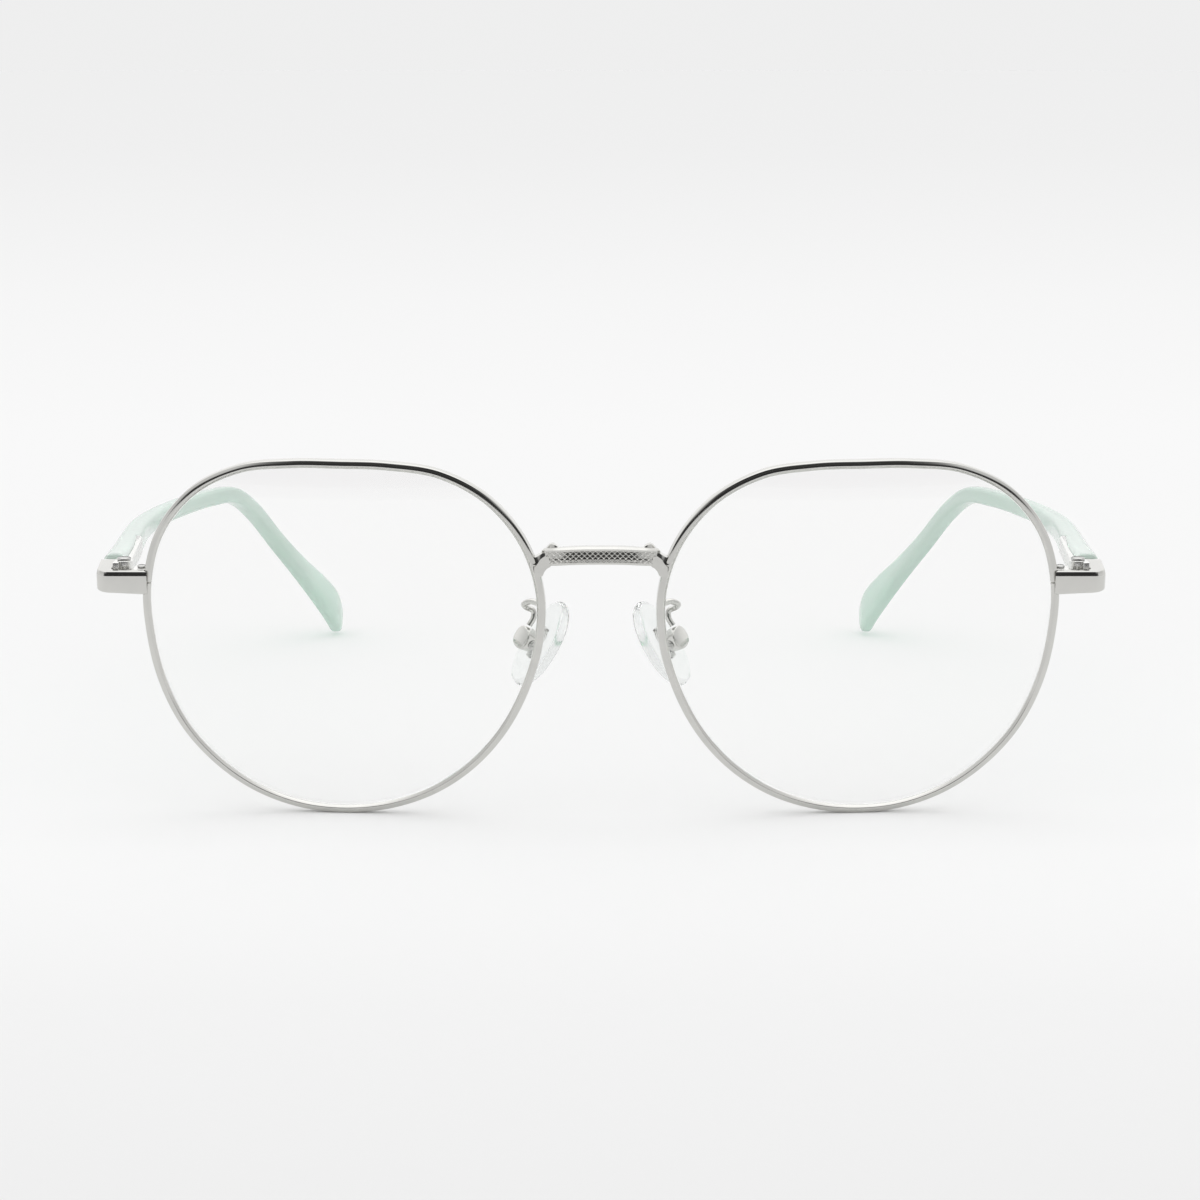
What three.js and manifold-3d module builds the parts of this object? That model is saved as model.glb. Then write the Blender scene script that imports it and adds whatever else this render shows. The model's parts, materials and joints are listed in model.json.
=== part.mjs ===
// Round wire eyeglasses with a flat crown, a knurled bridge, adjustable nose pads, sprung hinges
// and acetate temples on a metal core.
// Millimetres. +X is the wearer's left, +Y points back along the temples, +Z is up.
// The origin is the centre of the bridge's front face. The wearer's left side is built once by
// a function, and the right side is the same pieces mirrored in the plane x = 0.

import * as THREE from 'three';
import { mergeVertices } from 'three/addons/utils/BufferGeometryUtils.js';
import Module from 'manifold-3d';

const wasm = await Module();
wasm.setup();

// ---------------------------------------------------------------- driving dimensions

const FRONT_TILT = THREE.MathUtils.degToRad(6);      // rim bottoms lean back
const FACE_WRAP = THREE.MathUtils.degToRad(4);       // each lens turns back at its outer side
const WRAP_PIVOT = new THREE.Vector3(8.5, 2, 0);

const LENS_CENTRE = new THREE.Vector3(35.44, -0.8, -12.96);
const LENS_BASE_RADIUS = 120;                        // radius of the lens's front curve
const LENS_THICKNESS = 1.4;

// Distance from the lens centre to the rim's outer edge every 15 degrees, from the temple side
// up over the flat crown to the nose side and back underneath.
const RIM_REACH = [
  27.32, 28.55, 29.55, 29.41, 28.06, 26.18, 25.39, 26.09, 27.74, 28.87, 29.14, 28.63,
  27.51, 26.46, 25.89, 25.58, 25.38, 25.21, 25.21, 25.49, 25.81, 26.07, 26.43, 26.74,
];
const RIM_WIDTH = 1.15;                              // seen from the front
const RIM_DEPTH = 1.7;                               // front to back
const GROOVE_DEPTH = 0.45;
const GROOVE_HALF = 0.4;
const RIM_STEPS = 58;
const RIM_GAP = 0.24;                                // the split that lets the lens in
const FIT_GAP = 0.05;                                // brazed or clamped faces

const BRIDGE_HEIGHT = 2.45;
const BRIDGE_Z = -0.12;
const BRIDGE_THICKNESS = 1.5;
const BRIDGE_HALF = 8.2;                             // where the bar meets the rims
const BRIDGE_FLAT = 1.5;                             // half length of the flat middle
const BRIDGE_SWEEP = 2.6;                            // how far the ends sweep back
const BRIDGE_RISE = 0.95;                            // arch of the bar
const BEND_POWER = 3;                                // the sweep back gathers near the rims
const ARCH_POWER = 2.2;
const FOOT_FRONT = 1.5;                              // the web below each end of the bar
const FOOT_BACK = 3.0;
const NOSE_STRETCH = [0.3, 0.52];                    // shares of the rim, from its split
const BRAZE_GAP = 0.08;                              // bridge to rim

const PLATE_HEIGHT = 3.3;                            // end piece
const PLATE_Z = -5.4;
const PLATE_FRONT = 5.0;
const PLATE_THICK = 1.3;
const PLATE_INNER = 62.7;
const STRAP_OUTER = 69.4;
const STRAP_THICK = 2.1;
const STRAP_END = 12.2;                              // at its inner side
const STRAP_SLANT = 0.4;                             // the outer side is shorter
const STRAP_LEAN = 0.25;                             // and leans outward
const CORNER_RADIUS = 1.9;
const FILLET_RADIUS = 0.5;                           // inside the corner
const PLATE_BEVEL = 0.2;                             // along the top front edge
const SPLIT_STRETCH = 0.06;                          // share of the rim the plate lies on

const LOCK_INNER = 62.05;                            // rim-lock blocks behind the end piece
const LOCK_WIDTH = 2.3;
const LOCK_DEPTH = 1.95;
const LOCK_HOLE = 0.5;
const LOCK_SCREW = 0.42;
const LOCK_HEAD = 0.6;

const TEMPLE_FLARE = THREE.MathUtils.degToRad(4);  // temples open outward behind the hinge
const HINGE = new THREE.Vector3(65.95, 9.8, -4.1);   // centre of the hinge barrel
const KNUCKLE_RADIUS = 1.25;
const KNUCKLE_HEIGHT = 1.15;
const KNUCKLE_GAP = 0.08;
const PIN_HOLE = 0.6;
const PIN_RADIUS = 0.53;
const LEAF_THICK = 0.85;
const LEAF_REACH = 2.3;                              // forward of the hinge axis
const LEAF_TAIL = 0.4;                               // behind it
const KNUCKLE_CLEARANCE = 0.12;                      // round the middle knuckle
const SCREW_SEAT = 0.03;                             // under a screw's head

const SHANK_WIDTH = 0.7;
const SHANK_X = 0.3;                                 // shank centre, from the hinge axis
const SHANK_OVERLAP = 1.0;                           // how far the shank runs into the housing
const HOUSING_FRONT = 3.55;                          // from the hinge axis, along +Y
const HOUSING_LENGTH = 20;
const HOUSING_WIDTH = 2.0;
const HOUSING_HEIGHT = 2.5;
const CHANNEL_RADIUS = 0.72;
const CHANNEL_DEPTH = 14.5;
const ROD_RADIUS = 0.3;
const ROD_LENGTH = 12.4;                             // from the hinge axis
const ROD_CLEARANCE = 0.04;
const RING_THICK = 0.95;                             // retainer and nut on the rod
const RETAINER_RADIUS = 0.68;
const NUT_RADIUS = 0.62;
const SPRING_RADIUS = 0.52;
const SPRING_WIRE = 0.09;
const SPRING_TURNS = 8;
const SPRING_STEPS_PER_TURN = 7;
const SPRING_REST = 0.03;                            // clear of the rings at both ends
const NOTCH_DEPTH = 1.6;                             // at the housing's rear end

const TEMPLE_FRONT = 13.15;
const TEMPLE_STEPS = 34;
const CORE_STEPS = 26;
const CORE_WIDTH = 1.3;
const CORE_HEIGHT = 0.9;
const CORE_CLEARANCE = 0.07;
const CORE_FROM = 0.133;                             // shares of the temple the wire runs between
const CORE_TO = 0.80;
const TIP_FROM = 0.955;                              // where the tip starts to round off

const PAD_LENGTH = 13.3;
const PAD_WIDTH = 7.4;
const PAD_THICK = 2.5;
const PAD_CENTRE = new THREE.Vector3(8.45, 7.5, -14.75);
const PAD_LEAN = THREE.MathUtils.degToRad(31);       // top nearer the nose
const PAD_SPLAY = THREE.MathUtils.degToRad(32);      // back edge farther from the nose
const PAD_BOX_SIZE = 3.1;
const PAD_BOX_DEPTH = 1.5;
const PAD_STUD_THICK = 1.1;
const PAD_SCREW_RADIUS = 0.4;
const PAD_HOLE_RADIUS = 0.46;
const INSERT_X = 0.25;                               // the metal plate inside the pad
const INSERT_THICK = 0.6;
const INSERT_WIDTH = 1.8;
const INSERT_HEIGHT = 4.8;
const INSERT_ROOM = 0.2;
const EYE_RADIUS = 0.8;                              // end of the stud
const ARM_RADIUS = 0.42;

// ---------------------------------------------------------------- materials

function metal(colour, roughness) {
  return new THREE.MeshStandardMaterial({ color: colour, roughness, metalness: 1 });
}

const POLISHED_SILVER = metal(0xd6d8d4, 0.16);
const KNURLED_SILVER = metal(0xc9cbc6, 0.28);
const SATIN_STEEL = metal(0xb9bbb8, 0.34);
const SCREW_STEEL = metal(0x9c9e9a, 0.3);
const SPRING_STEEL = metal(0x8d8f8c, 0.36);
const MINT_ACETATE = new THREE.MeshStandardMaterial({
  color: 0xbfe3d2, roughness: 0.24, metalness: 0, transparent: true, opacity: 0.86,
});
const LENS_CLEAR = new THREE.MeshStandardMaterial({
  color: 0xf6fbfa, roughness: 0.04, metalness: 0, transparent: true, opacity: 0.12,
});
const PAD_CLEAR = new THREE.MeshStandardMaterial({
  color: 0xf1f5f4, roughness: 0.18, metalness: 0, transparent: true, opacity: 0.45,
});

// ---------------------------------------------------------------- geometry helpers

function solidOf(geometry) {
  const bare = geometry.clone();
  bare.deleteAttribute('normal');
  bare.deleteAttribute('uv');
  const merged = mergeVertices(bare, 1e-5);
  return new wasm.Manifold(new wasm.Mesh({
    numProp: 3,
    vertProperties: new Float32Array(merged.attributes.position.array),
    triVerts: new Uint32Array(merged.index.array),
  }));
}

function geometryOf(solid) {
  const mesh = solid.getMesh();
  const geometry = new THREE.BufferGeometry();
  geometry.setAttribute('position', new THREE.BufferAttribute(mesh.vertProperties, 3));
  geometry.setIndex(new THREE.BufferAttribute(mesh.triVerts, 1));
  geometry.computeVertexNormals();
  return geometry;
}

function join(...geometries) {
  return geometryOf(geometries.map(solidOf).reduce((whole, piece) => whole.add(piece)));
}

function cut(geometry, ...tools) {
  return geometryOf(tools.map(solidOf).reduce((left, tool) => left.subtract(tool), solidOf(geometry)));
}

// A straight prism along +Z between two heights, from a flat shape in the XY plane.
function prism(shape, low, high, curveSegments = 6) {
  const geometry = new THREE.ExtrudeGeometry(shape, {
    depth: high - low, steps: 1, bevelEnabled: false, curveSegments,
  });
  return geometry.translate(0, 0, low);
}

// A rounded outline: power 2 is an ellipse, and larger powers are squarer.
function oval(width, height, count, power = 2) {
  const points = [];
  for (let i = 0; i < count; i += 1) {
    const angle = (2 * Math.PI * (i + 0.5)) / count;
    const c = Math.cos(angle);
    const s = Math.sin(angle);
    points.push(new THREE.Vector2(
      (width / 2) * Math.sign(c) * Math.abs(c) ** (2 / power),
      (height / 2) * Math.sign(s) * Math.abs(s) ** (2 / power),
    ));
  }
  return new THREE.Shape(points);
}

function rectangle(x0, y0, x1, y1) {
  return new THREE.Shape([
    new THREE.Vector2(x0, y0),
    new THREE.Vector2(x1, y0),
    new THREE.Vector2(x1, y1),
    new THREE.Vector2(x0, y1),
  ]);
}

function circle(x, y, radius) {
  return new THREE.Shape().absarc(x, y, radius, 0, 2 * Math.PI, false);
}

// A solid swept from a flat outline. at(t) gives, for 0 ≤ t ≤ 1, the centre of the section and
// the vectors that its x and y follow; x cross y points along the sweep.
function sweep(outline, steps, at) {
  const geometry = new THREE.ExtrudeGeometry(outline, { depth: 1, steps, bevelEnabled: false });
  const position = geometry.attributes.position;
  const point = new THREE.Vector3();
  for (let i = 0; i < position.count; i += 1) {
    const section = at(position.getZ(i));
    point.copy(section.centre);
    point.addScaledVector(section.x, position.getX(i));
    point.addScaledVector(section.y, position.getY(i));
    position.setXYZ(i, point.x, point.y, point.z);
  }
  geometry.computeVertexNormals();
  return geometry;
}

// A section across a curve that keeps its x direction as level as it can.
function levelSection(curve, t, level) {
  const along = curve.getTangentAt(t);
  const y = along.clone().cross(level).normalize();
  const x = y.clone().cross(along).normalize();
  return { centre: curve.getPointAt(t), x, y };
}

function wire(points, radius, steps, sides = 6) {
  const curve = new THREE.CatmullRomCurve3(points);
  const level = new THREE.Vector3(0.3, 0.2, 1).normalize();
  return sweep(oval(2 * radius, 2 * radius, sides), steps, (t) => levelSection(curve, t, level));
}

// A turned piece on the Z axis: pairs of radius and height, from the axis back to the axis.
function turned(pairs, segments = 12) {
  const profile = pairs.map(([radius, height]) => new THREE.Vector2(radius, height));
  return new THREE.LatheGeometry(profile, segments).rotateX(Math.PI / 2);
}

// A screw on the Z axis, head up, with a straight slot across the head.
function slottedScrew(shank, length, head, headHeight) {
  const slotWidth = head * 0.32;
  const slotDepth = headHeight * 0.55;
  const body = turned([
    [0, -length], [shank, -length], [shank, 0], [head, 0], [head, headHeight * 0.7],
    [head * 0.8, headHeight], [0, headHeight],
  ]);
  const slot = prism(rectangle(-head * 1.2, -slotWidth / 2, head * 1.2, slotWidth / 2),
    headHeight - slotDepth, headHeight + 1);
  return cut(body, slot);
}

// ---------------------------------------------------------------- rim outline

// The closed outline at a distance inside the rim's outer edge, in the plane of the lens.
function rimOutline(inset) {
  const points = RIM_REACH.map((reach, i) => {
    const angle = (2 * Math.PI * i) / RIM_REACH.length;
    return new THREE.Vector3(
      (reach - inset) * Math.cos(angle), 0, (reach - inset) * Math.sin(angle),
    );
  });
  return new THREE.CatmullRomCurve3(points, true, 'catmullrom', 0.5);
}

// Bends flat geometry about the lens centre onto the lens's front curve.
function bendToBaseCurve(geometry) {
  const position = geometry.attributes.position;
  for (let i = 0; i < position.count; i += 1) {
    const x = position.getX(i);
    const z = position.getZ(i);
    position.setY(i, position.getY(i) + (x * x + z * z) / (2 * LENS_BASE_RADIUS));
  }
  geometry.computeVertexNormals();
  return geometry;
}

const SPLIT_AT = Math.asin((PLATE_Z - LENS_CENTRE.z) / (RIM_REACH[0] + 0.6)) / (2 * Math.PI);

function rimGeometry() {
  const half = RIM_WIDTH / 2;
  const back = RIM_DEPTH / 2;
  const profile = new THREE.Shape([
    new THREE.Vector2(-half, -GROOVE_HALF),
    new THREE.Vector2(-half, -back * 0.58),
    new THREE.Vector2(-half * 0.2, -back),
    new THREE.Vector2(half * 0.86, -back * 0.86),
    new THREE.Vector2(half, -back * 0.6),
    new THREE.Vector2(half, back * 0.45),
    new THREE.Vector2(half * 0.6, back * 0.92),
    new THREE.Vector2(-half * 0.3, back),
    new THREE.Vector2(-half, back * 0.86),
    new THREE.Vector2(-half, GROOVE_HALF),
    new THREE.Vector2(-half + GROOVE_DEPTH, 0),
  ]);
  return sweepRim(profile, RIM_STEPS, 0, 1);
}

// Carries a section along part of the rim; its x points outward and its y points back.
function sweepRim(profile, steps, from, to) {
  const middle = rimOutline(RIM_WIDTH / 2);
  const gap = RIM_GAP / middle.getLength() / 2;
  const geometry = sweep(profile, steps, (t) => {
    const u = (SPLIT_AT + gap + (from + t * (to - from)) * (1 - 2 * gap)) % 1;
    const along = middle.getTangent(u);
    return {
      centre: middle.getPoint(u),
      x: new THREE.Vector3(along.z, 0, -along.x),
      y: new THREE.Vector3(0, 1, 0),
    };
  });
  return bendToBaseCurve(geometry);
}

// The lens is turned round, then each spoke is stretched to the rim's outline.
function lensGeometry() {
  const edge = rimOutline(RIM_WIDTH + FIT_GAP);
  const half = LENS_THICKNESS / 2;
  const bevel = 1 + (GROOVE_DEPTH - FIT_GAP * 1.6) / RIM_REACH[0];
  const spokes = [
    [0, -half], [0.5, -half], [1, -half], [1, -0.3], [bevel, 0], [1, 0.3], [1, half], [0.5, half],
    [0, half],
  ];
  const profile = spokes.map(([reach, depth]) => new THREE.Vector2(reach, depth));
  const geometry = new THREE.LatheGeometry(profile, 48);
  const position = geometry.attributes.position;
  for (let i = 0; i < position.count; i += 1) {
    const x = position.getX(i);
    const z = position.getZ(i);
    const turn = Math.round((Math.atan2(z, x) / (2 * Math.PI)) * 1e6) / 1e6;
    const reach = Math.hypot(x, z);
    const spoke = edge.getPoint((turn + 1) % 1).multiplyScalar(reach);
    position.setX(i, spoke.x);
    position.setZ(i, spoke.z);
  }
  return bendToBaseCurve(geometry);
}

// ---------------------------------------------------------------- bridge

// The bar's section from end to end: flat in the middle, then sweeping back to the rims.
function bridgeSection(t) {
  const s = 2 * t - 1;
  const arm = BRIDGE_HALF - BRIDGE_FLAT;
  const far = Math.max(0, (Math.abs(s) * BRIDGE_HALF - BRIDGE_FLAT) / arm);
  const slope = (BEND_POWER * far ** (BEND_POWER - 1) * BRIDGE_SWEEP) / arm;
  const turn = Math.sign(s) * Math.atan(slope);
  return {
    centre: new THREE.Vector3(
      s * BRIDGE_HALF - Math.sin(turn) * BRIDGE_THICKNESS * 0.2,
      BRIDGE_THICKNESS / 2 + far ** BEND_POWER * BRIDGE_SWEEP,
      BRIDGE_Z - far ** ARCH_POWER * BRIDGE_RISE,
    ),
    x: new THREE.Vector3(-Math.sin(turn), Math.cos(turn), 0),
    y: new THREE.Vector3(0, 0, 1),
  };
}

function bridgeGeometry() {
  const back = BRIDGE_THICKNESS / 2;
  const high = BRIDGE_HEIGHT / 2;
  const outline = new THREE.Shape([
    new THREE.Vector2(-back, -high * 0.78),
    new THREE.Vector2(-back * 0.6, -high),
    new THREE.Vector2(back * 0.6, -high),
    new THREE.Vector2(back, -high * 0.6),
    new THREE.Vector2(back, high * 0.6),
    new THREE.Vector2(back * 0.5, high),
    new THREE.Vector2(-back * 0.4, high),
    new THREE.Vector2(-back, high * 0.72),
  ]);
  const bar = sweep(outline, 17, bridgeSection);
  const room = rimRoom(...NOSE_STRETCH);
  const foot = bridgeFoot();
  const mirror = new THREE.Matrix4().makeScale(-1, 1, 1);
  const both = join(bar, foot, flipped(foot, mirror));
  return cut(both, room, flipped(room, mirror));
}

// The foot that runs from the bar's end down the side of the rim.
function bridgeFoot() {
  const web = new THREE.Shape([
    new THREE.Vector2(7.1, -1.2),
    new THREE.Vector2(9.3, -0.4),
    new THREE.Vector2(9.3, -3.6),
    new THREE.Vector2(8.0, -3.6),
  ]);
  return prism(web, -FOOT_BACK, -FOOT_FRONT).rotateX(Math.PI / 2);
}

// The space that a stretch of the rim takes in the front's frame, with the brazing gap. It runs
// on inward, so that nothing is left standing on the lens's side.
function rimRoom(from, to) {
  const inward = 3;
  const steps = 16;
  const half = RIM_WIDTH / 2 + BRAZE_GAP;
  const back = RIM_DEPTH / 2 + BRAZE_GAP;
  const room = sweepRim(rectangle(-half - inward, -back, half, back), steps, from, to);
  const place = new THREE.Matrix4().makeTranslation(WRAP_PIVOT);
  place.multiply(new THREE.Matrix4().makeRotationZ(FACE_WRAP));
  place.multiply(new THREE.Matrix4().makeTranslation(LENS_CENTRE.clone().sub(WRAP_PIVOT)));
  return room.applyMatrix4(place);
}

// A mirrored copy with its faces turned back to point outward.
function flipped(geometry, mirror) {
  const copy = (geometry.index ? geometry.toNonIndexed() : geometry.clone()).applyMatrix4(mirror);
  const position = copy.attributes.position;
  for (let i = 0; i < position.count; i += 3) {
    const a = new THREE.Vector3().fromBufferAttribute(position, i + 1);
    const b = new THREE.Vector3().fromBufferAttribute(position, i + 2);
    position.setXYZ(i + 1, b.x, b.y, b.z);
    position.setXYZ(i + 2, a.x, a.y, a.z);
  }
  return copy;
}

// ---------------------------------------------------------------- end piece and rim lock

// Plan of the end piece: a front plate, a rounded outer corner and a strap running back.
function endPieceGeometry() {
  const corner = CORNER_RADIUS;
  const inner = FILLET_RADIUS;
  const low = PLATE_Z - PLATE_HEIGHT / 2;
  const high = PLATE_Z + PLATE_HEIGHT / 2;
  const plan = new THREE.Shape();
  plan.moveTo(PLATE_INNER, PLATE_FRONT);
  plan.lineTo(STRAP_OUTER - corner, PLATE_FRONT);
  plan.absarc(STRAP_OUTER - corner, PLATE_FRONT + corner, corner, -Math.PI / 2, 0, false);
  plan.lineTo(STRAP_OUTER + STRAP_LEAN, STRAP_END - STRAP_SLANT);
  plan.lineTo(STRAP_OUTER - STRAP_THICK, STRAP_END);
  plan.lineTo(STRAP_OUTER - STRAP_THICK, PLATE_FRONT + PLATE_THICK + inner);
  plan.absarc(STRAP_OUTER - STRAP_THICK - inner, PLATE_FRONT + PLATE_THICK + inner, inner,
    0, -Math.PI / 2, true);
  plan.lineTo(PLATE_INNER, PLATE_FRONT + PLATE_THICK);
  plan.closePath();
  const bar = prism(plan, low, high, 5);
  const bevelLength = 20;
  const bevel = new THREE.BoxGeometry(bevelLength, 1, 1).rotateX(Math.PI / 4);
  bevel.translate(
    STRAP_OUTER - corner - PLATE_BEVEL - bevelLength / 2, PLATE_FRONT - PLATE_BEVEL, high + PLATE_BEVEL,
  );
  return cut(bar, bevel, rimRoom(0, SPLIT_STRETCH), rimRoom(1 - SPLIT_STRETCH, 1));
}

function lockPlan() {
  const front = PLATE_FRONT + PLATE_THICK + FIT_GAP;
  const block = rectangle(LOCK_INNER, front, LOCK_INNER + LOCK_WIDTH, front + LOCK_DEPTH);
  block.holes.push(new THREE.Path().absarc(
    LOCK_INNER + LOCK_WIDTH / 2, front + LOCK_DEPTH / 2, LOCK_HOLE, 0, 2 * Math.PI, false,
  ));
  return block;
}

function lockBlockGeometry(low, high) {
  const room = [rimRoom(0, SPLIT_STRETCH), rimRoom(1 - SPLIT_STRETCH, 1)];
  return cut(prism(lockPlan(), low, high, 6), ...room);
}

// ---------------------------------------------------------------- hinge

// All hinge pieces are built about the barrel's centre.
function frontHingeGeometry() {
  const leafOuter = STRAP_OUTER - STRAP_THICK - HINGE.x - FIT_GAP;
  const leafInner = leafOuter - LEAF_THICK;
  const high = 1.5 * KNUCKLE_HEIGHT + KNUCKLE_GAP;
  const slot = KNUCKLE_HEIGHT / 2 + KNUCKLE_GAP;
  const barrel = prism(circle(0, 0, KNUCKLE_RADIUS), -high, high, 8);
  const leaf = prism(rectangle(leafInner, -LEAF_REACH, leafOuter, LEAF_TAIL), -high, high);
  const slotTool = prism(circle(0, 0, KNUCKLE_RADIUS + KNUCKLE_CLEARANCE), -slot, slot, 9);
  const slotBox = prism(rectangle(-3, -PIN_HOLE - 0.1, 3, 3), -slot, slot);
  const hole = prism(circle(0, 0, PIN_HOLE), -high - 1, high + 1, 8);
  return cut(join(barrel, leaf), slotTool, slotBox, hole);
}

function hingeScrewGeometry() {
  const high = 1.5 * KNUCKLE_HEIGHT + KNUCKLE_GAP;
  return slottedScrew(PIN_RADIUS, 2 * high, 0.95, 0.42).translate(0, 0, high + SCREW_SEAT);
}

// The hinge's middle knuckle, its shank and the rod that the spring sits on.
function springSliderGeometry() {
  const half = KNUCKLE_HEIGHT / 2;
  const shankHigh = half * 0.9;
  const shankEnd = HOUSING_FRONT + SHANK_OVERLAP;
  const rodFrom = shankEnd - 0.4;
  const knuckle = prism(circle(0, 0, KNUCKLE_RADIUS), -half, half, 8);
  const shank = prism(
    rectangle(SHANK_X - SHANK_WIDTH / 2, 0, SHANK_X + SHANK_WIDTH / 2, shankEnd), -shankHigh, shankHigh,
  );
  const rod = turned([
    [0, rodFrom], [ROD_RADIUS, rodFrom], [ROD_RADIUS, ROD_LENGTH], [0, ROD_LENGTH],
  ], 8).rotateX(-Math.PI / 2);
  rod.translate(SHANK_X, 0, 0);
  const hole = prism(circle(0, 0, PIN_HOLE), -half - 1, half + 1, 8);
  return cut(join(knuckle, shank, rod), hole);
}

// A ring on the slider's rod, between two distances behind the hinge axis.
function rodRing(outer, from, to) {
  const bore = ROD_RADIUS + ROD_CLEARANCE;
  const ring = turned([
    [bore, from], [outer, from], [outer, to], [bore, to], [bore, from],
  ], 10).rotateX(-Math.PI / 2);
  return ring.translate(SHANK_X, 0, 0);
}

const RETAINER_FROM = HOUSING_FRONT + SHANK_OVERLAP + 0.1;
const RETAINER_TO = RETAINER_FROM + RING_THICK;
const NUT_TO = ROD_LENGTH - 0.1;
const NUT_FROM = NUT_TO - RING_THICK;

function sliderSpringGeometry() {
  const from = RETAINER_TO + SPRING_WIRE + SPRING_REST;
  const to = NUT_FROM - SPRING_WIRE - SPRING_REST;
  const steps = SPRING_TURNS * SPRING_STEPS_PER_TURN;
  return sweep(oval(2 * SPRING_WIRE, 2 * SPRING_WIRE, 4), steps, (t) => {
    const angle = 2 * Math.PI * SPRING_TURNS * t;
    const out = new THREE.Vector3(Math.cos(angle), 0, -Math.sin(angle));
    const pitch = (to - from) / SPRING_TURNS / (2 * Math.PI * SPRING_RADIUS);
    const along = new THREE.Vector3(-Math.sin(angle), pitch, -Math.cos(angle)).normalize();
    const centre = out.clone().multiplyScalar(SPRING_RADIUS);
    centre.x += SHANK_X;
    centre.y = from + (to - from) * t;
    return { centre, x: out, y: along.clone().cross(out) };
  });
}

// The plan of the sprung housing, grown all round and run forward by lead for the temple's pocket.
function housingOutline(grow, lead) {
  const inner = SHANK_X - HOUSING_WIDTH / 2;
  return rectangle(
    inner - grow, HOUSING_FRONT - lead, inner + HOUSING_WIDTH + grow, HOUSING_FRONT + HOUSING_LENGTH + grow,
  );
}

// The housing let into the temple's inner face: bored from the front, notched at the rear.
function springHousingGeometry() {
  const high = HOUSING_HEIGHT / 2;
  const rear = HOUSING_FRONT + HOUSING_LENGTH;
  const body = prism(housingOutline(0, 0), -high, high);
  const channel = turned([
    [0, -1], [CHANNEL_RADIUS, -1], [CHANNEL_RADIUS, CHANNEL_DEPTH], [0, CHANNEL_DEPTH],
  ], 10).rotateX(-Math.PI / 2).translate(SHANK_X, HOUSING_FRONT, 0);
  const inner = SHANK_X - HOUSING_WIDTH / 2;
  const notch = prism(new THREE.Shape([
    new THREE.Vector2(-high * 0.55, rear + 0.1),
    new THREE.Vector2(0, rear - NOTCH_DEPTH),
    new THREE.Vector2(high * 0.55, rear + 0.1),
  ]), inner - 1, inner + 0.7).rotateY(Math.PI / 2);
  const ramp = new THREE.BoxGeometry(1, 4, 4).rotateZ(-0.35);
  ramp.translate(inner - 0.35, rear - 0.6, 0);
  return cut(body, channel, notch, ramp);
}

// ---------------------------------------------------------------- temple

// Centreline of the temple and the size of its section: across is side to side, deep is the
// height in the temple's own plane.
const TEMPLE_LINE = [
  { at: [67.8, TEMPLE_FRONT, -4.0], across: 3.3, deep: 3.9 },
  { at: [68.25, 24, -4.3], across: 3.6, deep: 3.8 },
  { at: [69.25, 38, -4.6], across: 3.4, deep: 3.5 },
  { at: [70.1, 52, -4.95], across: 3.1, deep: 3.2 },
  { at: [69.8, 66, -5.5], across: 2.9, deep: 3.0 },
  { at: [67.8, 80, -5.95], across: 2.8, deep: 2.9 },
  { at: [65.0, 92, -6.45], across: 2.7, deep: 2.8 },
  { at: [62.3, 102.5, -7.6], across: 2.7, deep: 2.8 },
  { at: [59.9, 112.2, -11.9], across: 2.7, deep: 2.9 },
  { at: [56.5, 119.4, -18.6], across: 2.7, deep: 3.1 },
  { at: [53.2, 124.4, -24.1], across: 2.7, deep: 4.2 },
  { at: [50.3, 128.7, -28.8], across: 2.7, deep: 6.2 },
  { at: [48.4, 132.1, -32.6], across: 2.7, deep: 6.9 },
  { at: [47.7, 135.4, -36.4], across: 2.3, deep: 4.6 },
];

const TEMPLE_CURVE = new THREE.CatmullRomCurve3(
  TEMPLE_LINE.map((station) => new THREE.Vector3(...station.at)), false, 'centripetal',
);

// A size read along the temple, smooth between its stations.
function templeSize(key) {
  return new THREE.SplineCurve(TEMPLE_LINE.map((station, i) => new THREE.Vector2(i, station[key])));
}
const TEMPLE_ACROSS = templeSize('across');
const TEMPLE_DEEP = templeSize('deep');

function templeSection(t) {
  const centre = TEMPLE_CURVE.getPoint(t);
  const along = TEMPLE_CURVE.getTangent(t);
  const outward = new THREE.Vector3(1, 0, 0);
  const y = outward.clone().cross(along).negate().normalize();
  const x = along.clone().cross(y).negate().normalize();
  return { centre, x, y, along };
}

function templeBody() {
  return sweep(oval(1, 1, 12, 3.2), TEMPLE_STEPS, (t) => {
    const section = templeSection(t);
    const past = Math.max(0, (t - TIP_FROM) / (1 - TIP_FROM));
    const end = 0.35 + 0.65 * Math.sqrt(Math.max(0, 1 - past * past));
    return {
      centre: section.centre,
      x: section.x.multiplyScalar(TEMPLE_ACROSS.getPoint(t).y * end),
      y: section.y.multiplyScalar(TEMPLE_DEEP.getPoint(t).y * end),
    };
  });
}

// The core wire, or its bore when grown, between two shares of the temple's length.
function coreGeometry(grow, from, to) {
  return sweep(oval(CORE_WIDTH + 2 * grow, CORE_HEIGHT + 2 * grow, 6, 2), CORE_STEPS, (t) => {
    const section = templeSection(from + t * (to - from));
    return { centre: section.centre, x: section.y.negate(), y: section.x };
  });
}

function templeGeometry() {
  const pocketHalf = HOUSING_HEIGHT / 2 + CORE_CLEARANCE;
  const pocket = prism(housingOutline(CORE_CLEARANCE, 1), -pocketHalf, pocketHalf);
  pocket.rotateZ(-TEMPLE_FLARE).translate(HINGE.x, HINGE.y, HINGE.z);
  const bore = coreGeometry(CORE_CLEARANCE, CORE_FROM - 0.012, CORE_TO + 0.003);
  return cut(templeBody(), pocket, bore);
}

// ---------------------------------------------------------------- nose pads

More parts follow.
